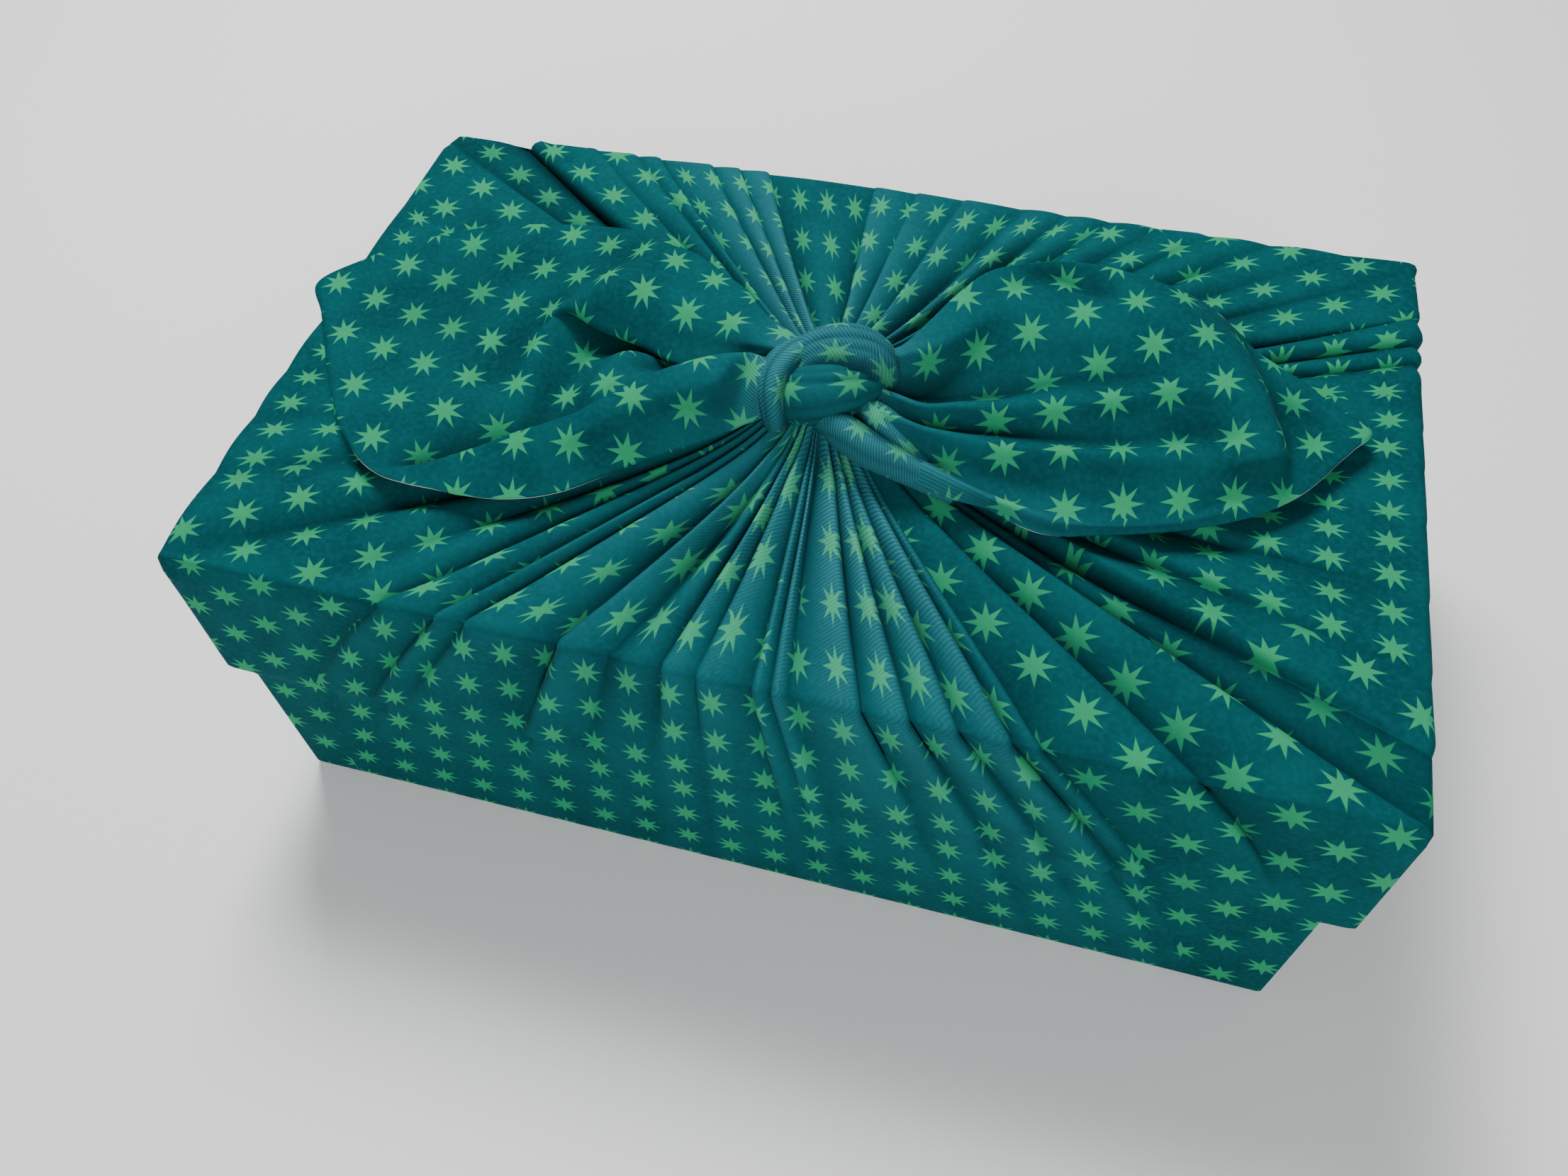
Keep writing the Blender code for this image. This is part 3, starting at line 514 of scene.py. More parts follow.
def rim_points(angles, inset=0.0):
    """Where rays from the aim point leave the rounded plan of the box."""
    ray = np.stack([np.cos(angles), np.sin(angles)], -1)
    half = BOX_HALF - inset
    safe = np.where(np.abs(ray) < 1e-9, 1e-9, ray)
    reach = ((np.sign(safe) * half - AIM) / safe).min(-1)
    point = AIM + ray * reach[..., None]
    radius = max(CORNER_RADIUS - inset, LEAST_RADIUS)
    core = half - radius
    offset = AIM - np.sign(point) * core
    along = (offset * ray).sum(-1)
    inside = np.maximum(along ** 2 - (offset ** 2).sum(-1) + radius ** 2, 0.0)
    rounded = AIM + ray * (np.sqrt(inside) - along)[..., None]
    in_corner = (np.abs(point) > core).all(-1)
    return np.where(in_corner[..., None], rounded, point)


def foot_points(tops):
    """Where the lines through the rim reach the foot of the sides, and how fast they bend down to it.

    A line keeps the slant that it has on top. Near an end of the side it would run off the side,
    so it starts at that slant and then bends down.
    """
    on_end = BOX_HALF[0] - np.abs(tops[:, 0]) < BOX_HALF[1] - np.abs(tops[:, 1])
    foot = tops.copy()
    bend = np.ones(len(tops))
    for here, along, across in ((on_end, 1, 0), (~on_end, 0, 1)):
        slope = (tops[:, along] - AIM[along]) / np.abs(tops[:, across] - AIM[across])
        room = BOX_HALF[along] - np.abs(tops[:, along])
        left = END_SHARE * room
        spare = room - np.abs(slope) * HEIGHT - left
        eased = np.minimum(left + (spare + np.sqrt(spare ** 2 + END_EASE ** 2)) / 2, room)
        moved = np.sign(tops[:, along]) * (BOX_HALF[along] - eased)
        travel = np.maximum(np.abs(moved - tops[:, along]), 1e-6)
        use = here & (slope * tops[:, along] > 0)
        foot[use, along] = moved[use]
        bend[use] = np.clip(np.abs(slope) * HEIGHT / travel, 1.0, MOST_BEND)[use]
    return foot, on_end, bend


def strip_columns():
    """Columns of every pleat, both of its creases included: pleat number, place in it, vertex column."""
    count = len(CREASES)
    gaps = [(CREASES[(i + 1) % count][0] - CREASES[i][0]) % 360.0 for i in range(count)]
    sizes = [(LAPPED_COLUMNS if row[6] else SOFT_COLUMNS) + round(gap) for row, gap in zip(CREASES, gaps)]
    starts = np.concatenate([[0], np.cumsum(sizes)])
    strip, place, vertex, nose = [], [], [], []
    for i, size in enumerate(sizes):
        tile = CREASES[i][6]
        share = min(NOSE_MOST, max(NOSE_LEAST, NOSE_DEGREES / gaps[i]))
        k = np.arange(size + 1)
        if tile:
            body = share + (1 - share) * (k - NOSE_STEPS) / (size - NOSE_STEPS)
            u = np.where(k <= NOSE_STEPS, share * k / NOSE_STEPS, body)
            if tile < 0:
                u = 1 - u[::-1]
        else:
            u = (1 - np.cos(math.pi * k / size)) / 2
        strip.append(np.full(size + 1, i))
        place.append(u)
        vertex.append((starts[i] + k) % starts[-1])
        nose.append(np.full(size + 1, share))
    return np.concatenate(strip), np.concatenate(place), np.concatenate(vertex), np.concatenate(nose)


def pleat_section(u, tile, nose):
    """Cross-section of the pleats: 0 at the crest and -1 in the crease, and how far the nose bulges."""
    v = np.where(tile < 0, 1 - u, u)
    inside = v < nose
    turn = math.pi * np.clip(v / nose, 0, 1)
    fall = np.clip((v - nose) / (1 - nose), 0, 1)
    lapped = np.where(inside, -(1 + np.cos(turn)) / 2, -fall ** LAP_FALL)
    soft = np.sin(math.pi * np.clip(u, 0, 1)) ** SOFT_FALL - 1
    soft = np.where((u <= 0) | (u >= 1), -1.0, soft)
    bulge = np.where(inside, np.sin(turn), 0.0)
    return np.where(tile == 0, soft, lapped), np.where(tile == 0, 0.0, -tile * bulge)


def side_heights():
    """Heights of the rows of the sides, closer together at the lid's step and round the foot."""
    upper = np.linspace(SIDE_TOP, STEP_TOP + 1.0 * MM, SIDE_ROWS // 2 + 1)[1:]
    step = np.linspace(STEP_TOP, STEP_TOP - STEP_DROP, STEP_ROWS)
    lower = np.linspace(STEP_TOP - STEP_DROP - 4.0 * MM, FOOT_RADIUS, SIDE_ROWS // 2 - STEP_ROWS)
    curl = FOOT_RADIUS * (1 - np.sin(np.linspace(0, math.pi / 2, CURL_ROWS + 1)))[1:]
    return np.concatenate([upper, step, lower, curl])


def bundle_shape():
    """Points of the bundle for every pleat column and row, and what its print and its looks need."""
    strip, u, vertex, nose = strip_columns()
    after = (strip + 1) % len(CREASES)
    table = {key: np.array([row[n] for row in CREASES]) for n, key in enumerate(CREASE_FIELDS)}

    def turned(key):
        start = table[key][strip]
        return np.radians(start + (table[key][after] - start) % 360.0 * u)

    def mixed(key):
        ease = smooth_step(u)
        return table[key][strip] * (1 - ease) + table[key][after] * ease

    rng = np.random.default_rng(7)
    wave = rng.uniform(0, 2 * math.pi, (len(CREASES), len(RIPPLES)))
    waver = rng.uniform(0.4, 1.0, (len(CREASES), len(RIPPLES)))

    def ripple(run, crease):
        return (np.sin(run[:, None] / RIPPLES + wave[crease]) * waver[crease]).sum(1)

    angle, near = turned("angle"), turned("near")
    knot, middle, at_rim = mixed("knot") * MM, mixed("mid") * MM, mixed("rim") * MM
    reach = mixed("down")
    rim = rim_points(angle)
    inner = rim_points(angle, EDGE_RADIUS)
    foot, on_end, bend = foot_points(rim)
    outward = rim - inner
    outward /= np.linalg.norm(outward, axis=1)[:, None]
    start = NECK + NECK_HALF * np.stack([np.cos(near), np.sin(near)], -1)
    width = np.linalg.norm(inner - start, axis=1)
    ray = (inner - start) / width[:, None]
    across = np.stack([-ray[:, 1], ray[:, 0]], -1)
    section, bulge = pleat_section(u, table["tile"][strip], nose)
    lip = bulge * table["lip"][strip] * MM
    level = (1 + section) * table["level"][strip] * MM
    level_rim = level * np.clip(table["rim"] / table["mid"], 0, 1)[strip]
    rows, runs, relief = [], [], []

    def add_row(plan, z, run, depth):
        rows.append(np.column_stack([plan, np.broadcast_to(z, len(u))]))
        runs.append(run)
        relief.append(depth)

    for share in (np.arange(TOP_ROWS + 1) / TOP_ROWS) ** ROW_CROWDING:
        run = share * width
        knot_side = max(1 - 2 * share, 0.0)
        rim_side = max(2 * share - 1, 0.0)
        depth = knot * knot_side + middle * (1 - knot_side - rim_side) + at_rim * rim_side
        depth = depth * (1 + MID_SWELL * math.sin(math.pi * share))
        depth = depth * smooth_step(KNOT_SHARE + run / KNOT_EASE)
        ripples = ripple(run, strip) * (1 - u) + ripple(run, after) * u
        sway = ripples * RIPPLE_SWAY * smooth_step(run / SWAY_EASE) * smooth_step((width - run) / RIM_EASE)
        lift = (level + (level_rim - level) * rim_side) * smooth_step(share * 2.0)
        bump = section * depth * (1 + RIPPLE_RISE * ripples) + lift
        rise = NECK_RISE * np.exp(-run / NECK_FADE) + LAYER_RISE * np.exp(-run / LAYER_FADE)
        shift = sway + lip * smooth_step(run / KNOT_EASE)
        plan = start + ray * run[:, None] + across * shift[:, None]
        add_row(plan, HEIGHT + rise + bump, run, depth)
    swell = section * at_rim + level_rim
    for turn in math.pi / 2 * np.arange(1, EDGE_ROWS + 1) / EDGE_ROWS:
        out = (EDGE_RADIUS + swell) * math.sin(turn)
        plan = inner + outward * out[:, None] + across * lip[:, None]
        z = HEIGHT - EDGE_RADIUS * (1 - math.cos(turn)) + swell * math.cos(turn)
        add_row(plan, z, width + EDGE_RADIUS * turn, at_rim)
    for z in side_heights():
        down = (SIDE_TOP - z) / SIDE_TOP
        plan = rim + (foot - rim) * (1 - max(1 - down, 0.0) ** bend)[:, None]
        plan = plan * (1 - smooth_step((STEP_TOP - z) / STEP_DROP) * BASE_INSET / BOX_HALF)
        fade = smooth_step(SIDE_HOLD * (1 - down / reach))
        tuck = FOOT_RADIUS - math.sqrt(max(FOOT_RADIUS ** 2 - (FOOT_RADIUS - min(z, FOOT_RADIUS)) ** 2, 0.0))
        plan = plan + outward * (swell * fade - tuck)[:, None] + across * (lip * fade)[:, None]
        add_row(plan, z, width + SIDE_TOP - z, at_rim * fade)
    return {
        "points": np.stack(rows, 1), "runs": np.stack(runs, 1), "relief": np.stack(relief, 1),
        "strip": strip, "vertex": vertex, "rim": rim, "width": width[:, None], "on_end": on_end,
        "angle": angle, "crown": 1 + section[:, None], "table": table,
    }


def corner_print(p, fallen, on_end, heading, rim_pitch, run_pitch):
    """Print of a pleat that runs to a corner: the sides are laid out flat beside the top."""
    turn = math.radians(heading)
    away = p[..., :2] - AIM
    away[..., 0] += np.where(on_end, np.sign(p[..., 0]) * fallen, 0)
    away[..., 1] += np.where(on_end, 0, np.sign(p[..., 1]) * fallen)
    along = away[..., 0] * math.cos(turn) + away[..., 1] * math.sin(turn)
    over = away[..., 1] * math.cos(turn) - away[..., 0] * math.sin(turn)
    return np.stack([over / rim_pitch, along / run_pitch], -1)


def face_print(p, fallen, on_side, rim, inward, width, drift, side, rim_pitch, run_pitch):
    """Print of a pleat that runs to a side: rows along the rim, which close up towards the knot."""
    axis = 1 if side in ("right", "left") else 0
    facing = -1.0 if side == "left" else 1.0
    rim_along = rim[:, axis, None] * facing
    centre = (rim_along[0] + rim_along[-1]) / 2
    span = max(abs(rim_along[-1, 0] - rim_along[0, 0]) / rim_pitch, 1e-6)
    share = np.minimum(1.0, np.linalg.norm(p[-1] - p[0], axis=-1) / LEAST_PITCH / span)
    top = np.stack([(centre + (rim_along - centre) * share) / rim_pitch, -inward / run_pitch], -1)
    top = top + drift * (np.clip(inward / width, 0, 1) ** DRIFT_FADE)[..., None]
    side_pitch = rim_pitch + (FOOT_PITCH - rim_pitch) * fallen / HEIGHT
    slope = (FOOT_PITCH - run_pitch) / HEIGHT
    below = np.stack([p[..., axis] * facing / side_pitch, np.log1p(fallen * slope / run_pitch) / slope], -1)
    return np.where(on_side[:, None], below, top)


def bundle_print(shape):
    """Cloth coordinates, in stars, for every pleat column and row."""
    points, strip, angle = shape["points"], shape["strip"], shape["angle"]
    uv = np.zeros(points.shape[:2] + (2,))
    on_side = np.arange(points.shape[1]) > TOP_ROWS
    fallen = np.clip(HEIGHT - points[..., 2], 0.0, HEIGHT)
    drift = np.random.default_rng(11).uniform(-PRINT_DRIFT, PRINT_DRIFT, (len(CREASES), 2))
    for i in range(len(CREASES)):
        cols = np.where(strip == i)[0]
        middle = math.degrees((angle[cols[0]] + angle[cols[-1]]) / 2) % 360
        side, heading, rim_pitch, run_pitch = [row[1:] for row in SECTORS if middle >= row[0] - 0.01][-1]
        pitches = (rim_pitch * MM, run_pitch * MM)
        if side == "corner":
            on_end = shape["on_end"][cols, None]
            uv[cols] = corner_print(points[cols], fallen[cols] * on_side, on_end, heading, *pitches)
        else:
            width = shape["width"][cols]
            inward = width - shape["runs"][cols]
            uv[cols] = face_print(points[cols], fallen[cols], on_side, shape["rim"][cols], inward, width,
                                  drift[i], side, *pitches)
    return uv


def make_bundle():
    """The cloth drawn tight round the box: pleats over the top and down the sides, closed underneath."""
    shape = bundle_shape()
    vertex, strip, crown, runs = shape["vertex"], shape["strip"], shape["crown"], shape["runs"]
    rows = runs.shape[1]
    columns = vertex.max() + 1

    def by_vertex(values, caps):
        """Values of the pleat columns as values of the mesh's points, then those of the two caps' middles."""
        spread = np.zeros((columns,) + values.shape[1:])
        spread[vertex] = values
        return np.concatenate([spread.reshape((columns * rows,) + values.shape[2:]), caps])

    verts = by_vertex(shape["points"], [(*NECK, HEIGHT + NECK_RISE), (0.0, 0.0, 0.0)])
    stretch_and_highlight = shape["table"]["stretch_and_highlight"][strip][:, None] * np.exp(-runs / STRETCH_AND_HIGHLIGHT_REACH)
    # Stronger on the crests: painted highlight on top of the pale of the stretch
    stretch_and_highlight = stretch_and_highlight * (OFF_CREST_SHARE + (1 - OFF_CREST_SHARE) * crown)
    # Painted shade: darkest deep in the creases and on sunken pleats, fading down the sides
    sunk = -0.5 * shape["table"]["level"][strip][:, None] * MM / HOLLOW_DEPTH
    painted_shade = np.clip((1 - crown) ** HOLLOW_CURVE * shape["relief"] / HOLLOW_DEPTH + sunk, 0, 1)
    painted_shade = painted_shade * np.exp(-np.maximum(runs - shape["width"], 0.0) / HOLLOW_REACH)
    looks = {"stretch_and_highlight": by_vertex(stretch_and_highlight, (0.0, 0.0)), "painted_shade": by_vertex(painted_shade, (0.0, 0.0))}
    uv = bundle_print(shape)
    left = np.where(strip[:-1] == strip[1:])[0]
    k = np.arange(rows - 1)
    a = vertex[left][:, None] * rows + k
    b = vertex[left + 1][:, None] * rows + k
    quads = np.stack([a, a + 1, b + 1, b], -1).reshape(-1, 4)
    quad_uv = np.stack([uv[left][:, :-1], uv[left][:, 1:], uv[left + 1][:, 1:], uv[left + 1][:, :-1]], 2)
    ring = np.arange(columns) * rows
    beside = np.roll(ring, -1)
    neck = np.full(columns, columns * rows)
    caps = np.concatenate([np.stack([ring, beside, neck], -1),
                           np.stack([beside + rows - 1, ring + rows - 1, neck + 1], -1)])
    uvs = np.concatenate([quad_uv.reshape(-1, 2), verts[caps.ravel()][:, :2] / STAR_PITCH])
    return make_mesh("wrap_bundle", verts, (quads, caps), uvs, looks)


def unrolled_fan(points):
    """First flat places of a fan of fold lines: each line straight, turned by the angle between the lines."""
    along = np.linalg.norm(np.diff(points, axis=1), axis=-1)
    reach = np.concatenate([np.zeros((len(points), 1)), np.cumsum(along, axis=1)], axis=1) + FAN_RADIUS
    end = reach[:, -1]
    across = np.linalg.norm(points[1:, -1] - points[:-1, -1], axis=-1)
    share = (end[1:] ** 2 + end[:-1] ** 2 - across ** 2) / (2 * end[1:] * end[:-1])
    turn = np.concatenate([[0.0], np.cumsum(np.arccos(np.clip(share, -1, 1)))])[:, None]
    return reach * np.cos(turn) + 1j * (reach * np.sin(turn))


def coarse_places(count):
    """Every FLAT_STRIDE-th of so many places, and the last one."""
    return np.append(np.arange(0, count - 1, FLAT_STRIDE), count - 1)


def flatten_grid(points):
    """Flat places for a grid of cloth points: its triangles are turned, and stretched as little as can be.

    A flat place is a complex number. A coarser grid is flattened, and the places in between are filled in.
    """
    rows, cols = coarse_places(points.shape[0]), coarse_places(points.shape[1])
    coarse = points[np.ix_(rows, cols)]
    flat = unrolled_fan(coarse).ravel()
    number = np.arange(flat.size).reshape(coarse.shape[:2])
    a, b = number[:-1, :-1].ravel(), number[:-1, 1:].ravel()
    c, d = number[1:, 1:].ravel(), number[1:, :-1].ravel()
    corners = np.concatenate([np.stack([a, b, c], -1), np.stack([a, c, d], -1)])
    solid = coarse.reshape(-1, 3)[corners]
    first, second = solid[:, 1] - solid[:, 0], solid[:, 2] - solid[:, 0]
    base = np.maximum(np.linalg.norm(first, axis=1), 1e-9)
    over = (first * second).sum(1) / base
    high = np.sqrt(np.maximum((second ** 2).sum(1) - over ** 2, 1e-16))
    spread = flat[corners] - flat[corners[:, :1]]
    facing = np.sign((np.conj(spread[:, 1]) * spread[:, 2]).imag).mean()
    place = np.stack([np.zeros(len(base)), base, over + 1j * facing * high], 1)
    sides = []
    for i, j, k in ((0, 1, 2), (1, 2, 0), (2, 0, 1)):
        span = np.conj(place[:, i] - place[:, k]) * (place[:, j] - place[:, k])
        weight = np.clip(span.real / np.maximum(np.abs(span.imag), 1e-12), LEAST_WEIGHT, MOST_WEIGHT)
        sides.append((corners[:, i], corners[:, j], weight, place[:, i] - place[:, j]))
    pull = np.zeros((flat.size, flat.size))
    for i, j, weight, _ in sides:
        for row, column, sign in ((i, i, 1), (j, j, 1), (i, j, -1), (j, i, -1)):
            np.add.at(pull, (row, column), sign * weight)
    pull[0, 0] += 1.0
    answer = np.linalg.inv(pull)
    for _ in range(FLAT_ROUNDS):
        turn = sum(weight * np.conj(edge) * (flat[i] - flat[j]) for i, j, weight, edge in sides)
        turn /= np.maximum(np.abs(turn), 1e-15)
        force = np.zeros(flat.size, complex)
        for i, j, weight, edge in sides:
            push = weight * turn * edge
            np.add.at(force, i, push)
            np.add.at(force, j, -push)
        force[0] += flat[0]
        flat = answer @ force
    flat = flat.reshape(coarse.shape[:2])
    part = np.stack([np.interp(np.arange(points.shape[1]), cols, row) for row in flat])
    part = np.stack([np.interp(np.arange(points.shape[0]), rows, column) for column in part.T], 1)
    return np.stack([part.real, part.imag], -1)


def lay_print(flat, sheet, heading, star):
    """Turn the flat cloth so that its print runs at a heading near a star, and centre that star."""
    away = np.linalg.norm(sheet[..., :2] - np.array(star) * MM, axis=-1)
    i, j = np.unravel_index(np.argmin(away), away.shape)
    near = away < PRINT_PATCH
    left, _, right = np.linalg.svd((sheet[near][:, :2] - sheet[i, j, :2]).T @ (flat[near] - flat[i, j]))
    turn = left @ right
    heading = math.radians(heading)
    axes = np.array([[math.cos(heading), math.sin(heading)], [-math.sin(heading), math.cos(heading)]])
    return (flat - flat[i, j]) @ turn.T @ axes.T / STAR_PITCH + 0.5


def fold_sheet(folds):
    """Middle surface of a free corner, as rows of points across the fold lines."""
    lines = np.array(folds) * MM
    lines[..., 2] += HEIGHT
    along = chord_spline(lines.transpose(1, 0, 2), TAIL_STEPS)
    return chord_spline(along.transpose(1, 0, 2), TAIL_ROWS)


def grid_normals(sheet):
    """Upward normals of a grid of points, and whether its faces have to be turned over to match them."""
    normal = np.cross(np.gradient(sheet, axis=1), np.gradient(sheet, axis=0))
    normal /= np.maximum(np.linalg.norm(normal, axis=-1), 1e-12)[..., None]
    turned = normal[..., 2].mean() < 0
    return (-normal if turned else normal), turned


def sunken(sheet, normal):
    """How far each point of a free corner lies below the cloth round it, from 0 to 1: the strength of its
    painted shade.
    """
    around = sheet
    for _ in range(HOLLOW_ROUNDS):
        wide = np.pad(around, ((1, 1), (1, 1), (0, 0)), mode="edge")
        around = (wide[:-2, 1:-1] + wide[2:, 1:-1] + wide[1:-1, :-2] + wide[1:-1, 2:]) / 4
    return np.clip(((around - sheet) * normal).sum(-1) / TAIL_HOLLOW_DEPTH, 0, 1)


def make_tail(name, folds, heading, star, worn_rows):
    """A free corner: a thin sheet, printed on its upper face and white on its reverse.

    Its area is that of its middle surface, which is what it was cut to where it isn't stretched.
    """
    sheet = fold_sheet(folds)
    normal, turned = grid_normals(sheet)
    rows, steps = sheet.shape[:2]
    half = normal * (CLOTH_THICK / 2)
    verts = np.concatenate([(sheet + half).reshape(-1, 3), (sheet - half).reshape(-1, 3)])
    number = np.arange(rows * steps).reshape(rows, steps)
    a = number[:-1, :-1].ravel()
    b = number[1:, :-1].ravel()
    top = np.stack([a, a + 1, b + 1, b], -1)
    under = top[:, [0, 3, 2, 1]] + rows * steps
    ring = np.concatenate([number[0], number[1:, -1], number[-1, -2::-1], number[-2:0:-1, 0]])
    beside = np.roll(ring, -1)
    edge = np.stack([ring, ring + rows * steps, beside + rows * steps, beside], -1)
    faces = np.concatenate([top, under, edge])
    if turned:
        faces = faces[:, ::-1]
    slots = np.arange(len(faces)) >= len(top)
    along = np.linspace(0, 1, steps)[None, :]
    across = np.linspace(0, 1, rows)[:, None]
    stretch_and_highlight = TAIL_WORN * np.exp(-along / TAIL_WORN_REACH)
    if worn_rows is not None:
        low, high = worn_rows
        stretch_and_highlight = stretch_and_highlight + HEM_WORN * smooth_step((across - low) / (high - low)) * np.exp(-along / HEM_WORN_REACH)
    # Pale of the stretched cloth, and painted shade in the hollows
    looks = {"stretch_and_highlight": stretch_and_highlight, "painted_shade": sunken(sheet, normal)}
    looks = {key: np.broadcast_to(values, (2, rows, steps)) for key, values in looks.items()}
    uv = lay_print(flatten_grid(sheet), sheet, heading, star).reshape(-1, 2)
    piece = make_mesh(name, verts, (faces,), uv[faces.ravel() % (rows * steps)], looks, slots)
    first = sheet[1:, 1:] - sheet[:-1, :-1]
    second = sheet[1:, :-1] - sheet[:-1, 1:]
    return piece, 0.5 * np.linalg.norm(np.cross(first, second), axis=-1).sum()


def make_band(name, route, grooves, stretch_and_highlight, offset):
    """A rounded band of the knot with grooves along it, closed at both ends."""
    route = spline(np.array(route) * MM, BAND_STEPS)
    centres = route[:, :3] + np.array((0, 0, HEIGHT))
    halves = route[:, 3:]
    ahead = np.gradient(centres, axis=0)
    ahead /= np.linalg.norm(ahead, axis=1)[:, None]
    outward = centres - KNOT_MIDDLE
    outward -= ahead * (outward * ahead).sum(1)[:, None]
    outward /= np.linalg.norm(outward, axis=1)[:, None]
    sideways = np.cross(ahead, outward)
    turn = np.linspace(0, 2 * math.pi, BAND_SIDES, endpoint=False)
    along = np.linspace(0, 1, BAND_STEPS + 1)[:, None]
    swell = np.ones((BAND_STEPS + 1, BAND_SIDES))
    for place, depth, width, drift in grooves:
        centre = math.radians(place) + math.radians(drift) * (along - 0.5)
        away = np.abs(np.angle(np.exp(1j * (turn - centre))))
        swell -= depth * np.exp(-away / math.radians(width)) * np.sin(math.pi * along) ** 0.5
    x = halves[:, :1] * np.cos(turn) * swell
    y = halves[:, 1:] * np.sin(turn) * swell
    verts = centres[:, None] + sideways[:, None] * x[..., None] + outward[:, None] * y[..., None]
    # Painted shade in the grooves and on the side tucked towards the knot
    tucked_shade = TUCK_SHADE * smooth_step((TUCK_START - np.sin(turn)) / TUCK_SPAN)
    painted_shade = np.clip((1 - swell) * GROOVE_SHADE + tucked_shade, 0, 1)
    verts = np.concatenate([verts.reshape(-1, 3), [verts[0].mean(0), verts[-1].mean(0)]])
    looks = {"stretch_and_highlight": np.full(len(verts), stretch_and_highlight), "painted_shade": np.append(painted_shade, (0.0, 0.0))}
    length = np.concatenate([[0], np.cumsum(np.linalg.norm(np.diff(centres, axis=0), axis=1))])
    around = np.linspace(0, 1, BAND_SIDES + 1) * np.mean(halves) * 2 * math.pi
    uv = np.stack(np.meshgrid(around, length), -1) / BAND_PITCH + np.array(offset)
    ring = np.arange(BAND_SIDES)
    beside = (ring + 1) % BAND_SIDES
    row = np.arange(BAND_STEPS)[:, None] * BAND_SIDES
    quads = np.stack([row + ring, row + BAND_SIDES + ring, row + BAND_SIDES + beside, row + beside], -1)
    quad_uv = np.stack([uv[:-1, :-1], uv[1:, :-1], uv[1:, 1:], uv[:-1, 1:]], 2)
    last = BAND_STEPS * BAND_SIDES
    middle = np.full(BAND_SIDES, last + BAND_SIDES)
    caps = np.concatenate([np.stack([ring, beside, middle], -1),
                           np.stack([last + beside, last + ring, middle + 1], -1)])
    uvs = np.concatenate([quad_uv.reshape(-1, 2), np.zeros((caps.size, 2))])
    return make_mesh(name, verts, (quads.reshape(-1, 4), caps), uvs, looks)


class Nodes:
    """A new material, and short names for building its shader from nodes."""

    def __init__(self, name):
        self.material = bpy.data.materials.new(name)
        self.material.use_nodes = True
        self.tree = self.material.node_tree
        self.tree.nodes.clear()

    def add(self, kind, **settings):
        node = self.tree.nodes.new(kind)
        for key, value in settings.items():
            setattr(node, key, value)
        return node

    def link(self, value, socket):
        if isinstance(value, bpy.types.NodeSocket):
            self.tree.links.new(value, socket)
        else:
            socket.default_value = value

    def math(self, operation, *values):
        node = self.add("ShaderNodeMath", operation=operation)
        for value, socket in zip(values, node.inputs):
            self.link(value, socket)
        return node.outputs[0]

    def times(self, a, b):
        return self.math("MULTIPLY", a, b)

    def plus(self, a, b):
        return self.math("ADD", a, b)

    def mix(self, factor, a, b):
        node = self.add("ShaderNodeMix", data_type="RGBA")
        self.link(factor, node.inputs[0])
        self.link(a, node.inputs[6])
        self.link(b, node.inputs[7])
        return node.outputs[2]

    def ramp(self, value, low, high):
        node = self.add("ShaderNodeMapRange", clamp=True, interpolation_type="SMOOTHSTEP")
        for given, socket in zip((value, low, high), node.inputs):
            self.link(given, socket)
        return node.outputs[0]

    def noise(self, vector, scale, detail):
        node = self.add("ShaderNodeTexNoise")
        node.inputs["Scale"].default_value = scale
        node.inputs["Detail"].default_value = detail
        self.link(vector, node.inputs["Vector"])
        return node.outputs["Fac"]

    def split(self, vector):
        node = self.add("ShaderNodeSeparateXYZ")
        self.link(vector, node.inputs[0])
        return node.outputs[0], node.outputs[1]

    def surface(self, colour, height, roughness, strength, distance):
        """Principled shader with a bumped surface, linked to the output."""
        shader = self.add("ShaderNodeBsdfPrincipled")
        shader.inputs["Roughness"].default_value = roughness
        self.link(colour, shader.inputs["Base Color"])
        bump = self.add("ShaderNodeBump")
        bump.inputs["Strength"].default_value = strength
        bump.inputs["Distance"].default_value = distance
        self.link(height, bump.inputs["Height"])
        self.link(bump.outputs[0], shader.inputs["Normal"])
        out = self.add("ShaderNodeOutputMaterial")
        self.link(shader.outputs[0], out.inputs[0])
        return shader


def star_mask(n, uv):
    """1 inside a star, 0 outside, on the lattice of the cloth coordinates."""
    x, y = (n.math("SUBTRACT", n.math("FRACT", part), 0.5) for part in n.split(uv))
    radius = n.math("SQRT", n.plus(n.times(x, x), n.times(y, y)))
    half = math.pi / STAR_POINTS
    fold = n.math("PINGPONG", n.math("ARCTAN2", y, x), half)
    along = n.times(radius, n.math("COSINE", fold))
    over = n.times(radius, n.math("SINE", fold))
    rise = STAR_WAIST * math.sin(half)
    run = STAR_TIP - STAR_WAIST * math.cos(half)
    size = math.hypot(rise, run)
    side = n.times(n.math("SUBTRACT", along, STAR_TIP), rise / size)
    side = n.plus(side, n.times(over, run / size))
    return n.ramp(side, STAR_EDGE, -STAR_EDGE)


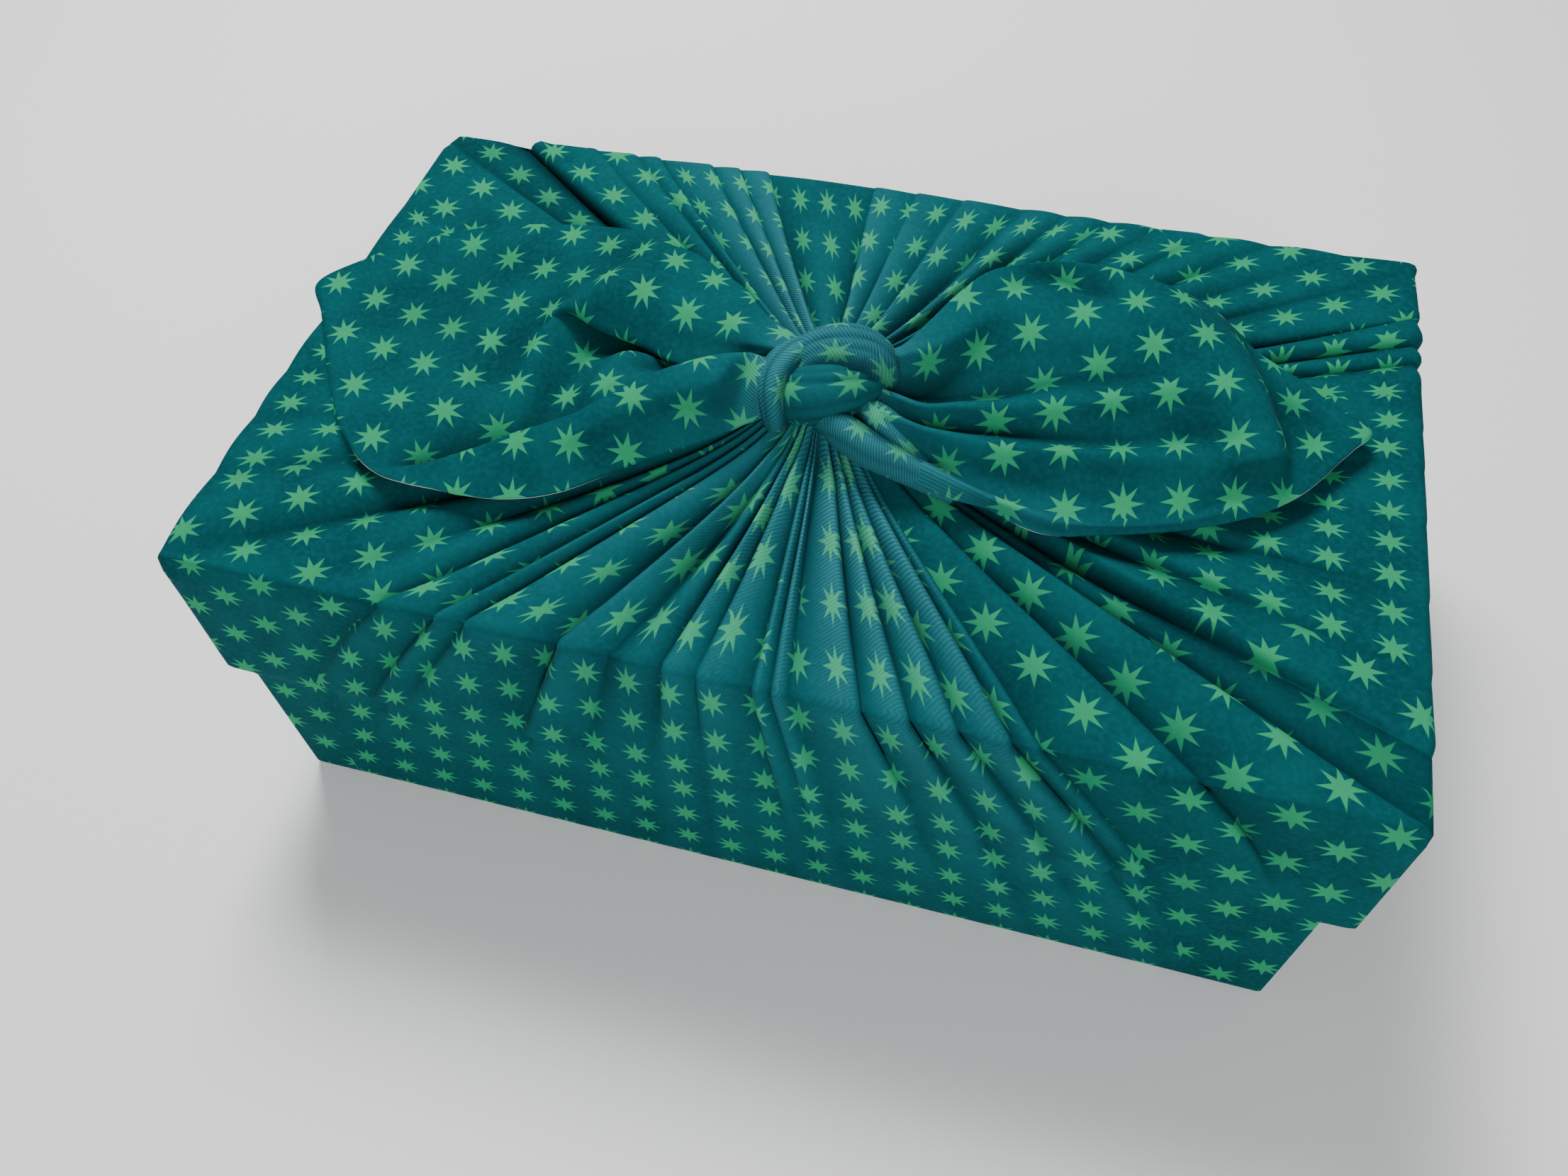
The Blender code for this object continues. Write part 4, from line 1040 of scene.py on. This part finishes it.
def printed_cloth():
    """Teal stretch knit with green stars; where it is stretched its ribs and pale yarn show. With painted
    highlight on the crests and painted shade in the creases and hollows.
    """
    n = Nodes("printed_cloth")
    uv = n.add("ShaderNodeUVMap", uv_map="cloth").outputs[0]
    place = n.add("ShaderNodeTexCoord").outputs["Object"]
    stretch_and_highlight = n.add("ShaderNodeAttribute", attribute_name="stretch_and_highlight").outputs["Fac"]
    painted_shade = n.add("ShaderNodeAttribute", attribute_name="painted_shade").outputs["Fac"]
    star = star_mask(n, uv)
    mottling = n.noise(place, *MOTTLING)
    grain = n.noise(place, *GRAIN)
    speckle = n.noise(place, *SPECKLE)
    teal = n.mix(n.ramp(mottling, 0.3, 0.7), TEAL_DEEP, TEAL)
    teal = n.mix(n.times(n.ramp(speckle, 0.35, 0.75), HEATHER_SHARE), teal, HEATHER)
    # Pale where stretched, and painted highlight on the crests
    teal = n.mix(n.times(stretch_and_highlight, STRETCH_AND_HIGHLIGHT_TEAL_SHARE), teal, STRETCH_AND_HIGHLIGHT_TEAL)
    green = n.mix(n.times(stretch_and_highlight, STRETCH_AND_HIGHLIGHT_GREEN_SHARE), STAR_GREEN, STRETCH_AND_HIGHLIGHT_GREEN)
    gaps = n.times(speckle, STAR_GAPS)
    colour = n.mix(n.times(star, n.math("SUBTRACT", 1.0, gaps)), teal, green)
    u, v = n.split(uv)
    ribs_at = n.plus(n.times(v, RIBS_ALONG), n.times(u, RIBS_ACROSS))
    rib = n.math("SINE", n.times(ribs_at, 2 * math.pi))
    rib_share = n.ramp(stretch_and_highlight, *RIB_WORN)
    rib_light = n.times(n.times(rib, rib_share), RIB_CONTRAST)
    colour = n.mix(n.math("MAXIMUM", rib_light, 0.0), colour, RIB_PALE)
    rib_shade = n.times(rib_light, -RIB_SHADE)
    colour = n.mix(n.math("MAXIMUM", rib_shade, 0.0), colour, RIB_DEEP)
    # Painted shade in the creases and hollows
    colour = n.mix(n.times(painted_shade, PAINTED_SHADE_SHARE), colour, PAINTED_SHADE_TEAL)
    relief = n.times(rib, n.plus(rib_share, RIB_RELIEF_LEAST))
    height = n.plus(n.times(grain, GRAIN_RELIEF), n.times(relief, RIB_RELIEF))
    shader = n.surface(colour, height, 0.75, 0.5, 0.25 * MM)
    shader.inputs["Sheen Weight"].default_value = 0.01
    shader.inputs["Sheen Roughness"].default_value = 0.4
    shader.inputs["Sheen Tint"].default_value = SHEEN_TINT
    shader.inputs["Specular IOR Level"].default_value = 0.02
    return n.material


def reverse_cloth():
    """The unprinted white reverse, with the print's teal showing through a little."""
    n = Nodes("reverse_cloth")
    grain = n.noise(n.add("ShaderNodeTexCoord").outputs["Object"], *REVERSE_GRAIN)
    colour = n.mix(n.times(grain, SHOW_SHARE), REVERSE_WHITE, SHOWING_TEAL)
    n.surface(colour, grain, 0.85, 0.4, 0.2 * MM)
    return n.material


def make_floor():
    """Plain pale floor, just below the cloth."""
    corners = [(x * FLOOR_HALF, y * FLOOR_HALF, 0) for x, y in ((-1, -1), (1, -1), (1, 1), (-1, 1))]
    mesh = bpy.data.meshes.new("floor")
    mesh.from_pydata(corners, [], [(0, 1, 2, 3)])
    floor = add_object("floor", mesh)
    floor.location.z = min(0.0, cad_low.z) - FLOOR_GAP
    material = bpy.data.materials.new("pale_floor")
    material.use_nodes = True
    shader = material.node_tree.nodes["Principled BSDF"]
    shader.inputs["Base Color"].default_value = FLOOR_GREY
    shader.inputs["Roughness"].default_value = 0.9
    mesh.materials.append(material)


def make_lights():
    """The soft square lights, each aimed at its target, and the pale surround."""
    for name, place, target, size, power in LIGHTS:
        data = bpy.data.lights.new(name, "AREA")
        data.shape = "SQUARE"
        data.size = size
        data.energy = power
        light = add_object(name, data)
        light.location = place
        light.rotation_euler = (Vector(target) - Vector(place)).to_track_quat("-Z", "Y").to_euler()
    world = bpy.data.worlds.new("surround")
    world.use_nodes = True
    background = world.node_tree.nodes["Background"]
    background.inputs[0].default_value = SURROUND_COLOUR
    background.inputs[1].default_value = SURROUND_STRENGTH
    bpy.context.scene.world = world


def make_camera():
    """Camera at the photograph's viewing angle, in front, above and a little to the right."""
    data = bpy.data.cameras.new("camera")
    data.sensor_width = 36.0
    data.lens = CAMERA_LENS
    data.clip_start = 0.01
    camera = add_object("camera", data)
    camera.matrix_world = Matrix.Translation(CAMERA_PLACE) @ Matrix(CAMERA_AXES).transposed().to_4x4()
    bpy.context.scene.camera = camera


def main():
    """Dress the frame: the cloth's pieces, the floor, the lights and the camera."""
    make_camera()
    make_lights()
    make_floor()
    printed = printed_cloth()
    reverse = reverse_cloth()
    bundle = make_bundle()
    left, left_area = make_tail("left_corner", LEFT_FOLDS, *LEFT_PRINT, None)
    right, right_area = make_tail("right_corner", RIGHT_FOLDS, *RIGHT_PRINT, RIGHT_WORN_ROWS)
    bands = [make_band(*band) for band in BANDS]
    for piece in [bundle, left, right] + bands:
        piece.data.materials.append(printed)
        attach(piece, "root")
        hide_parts("furoshiki")
    for piece, area in ((left, left_area), (right, right_area)):
        piece.data.materials.append(reverse)


main()
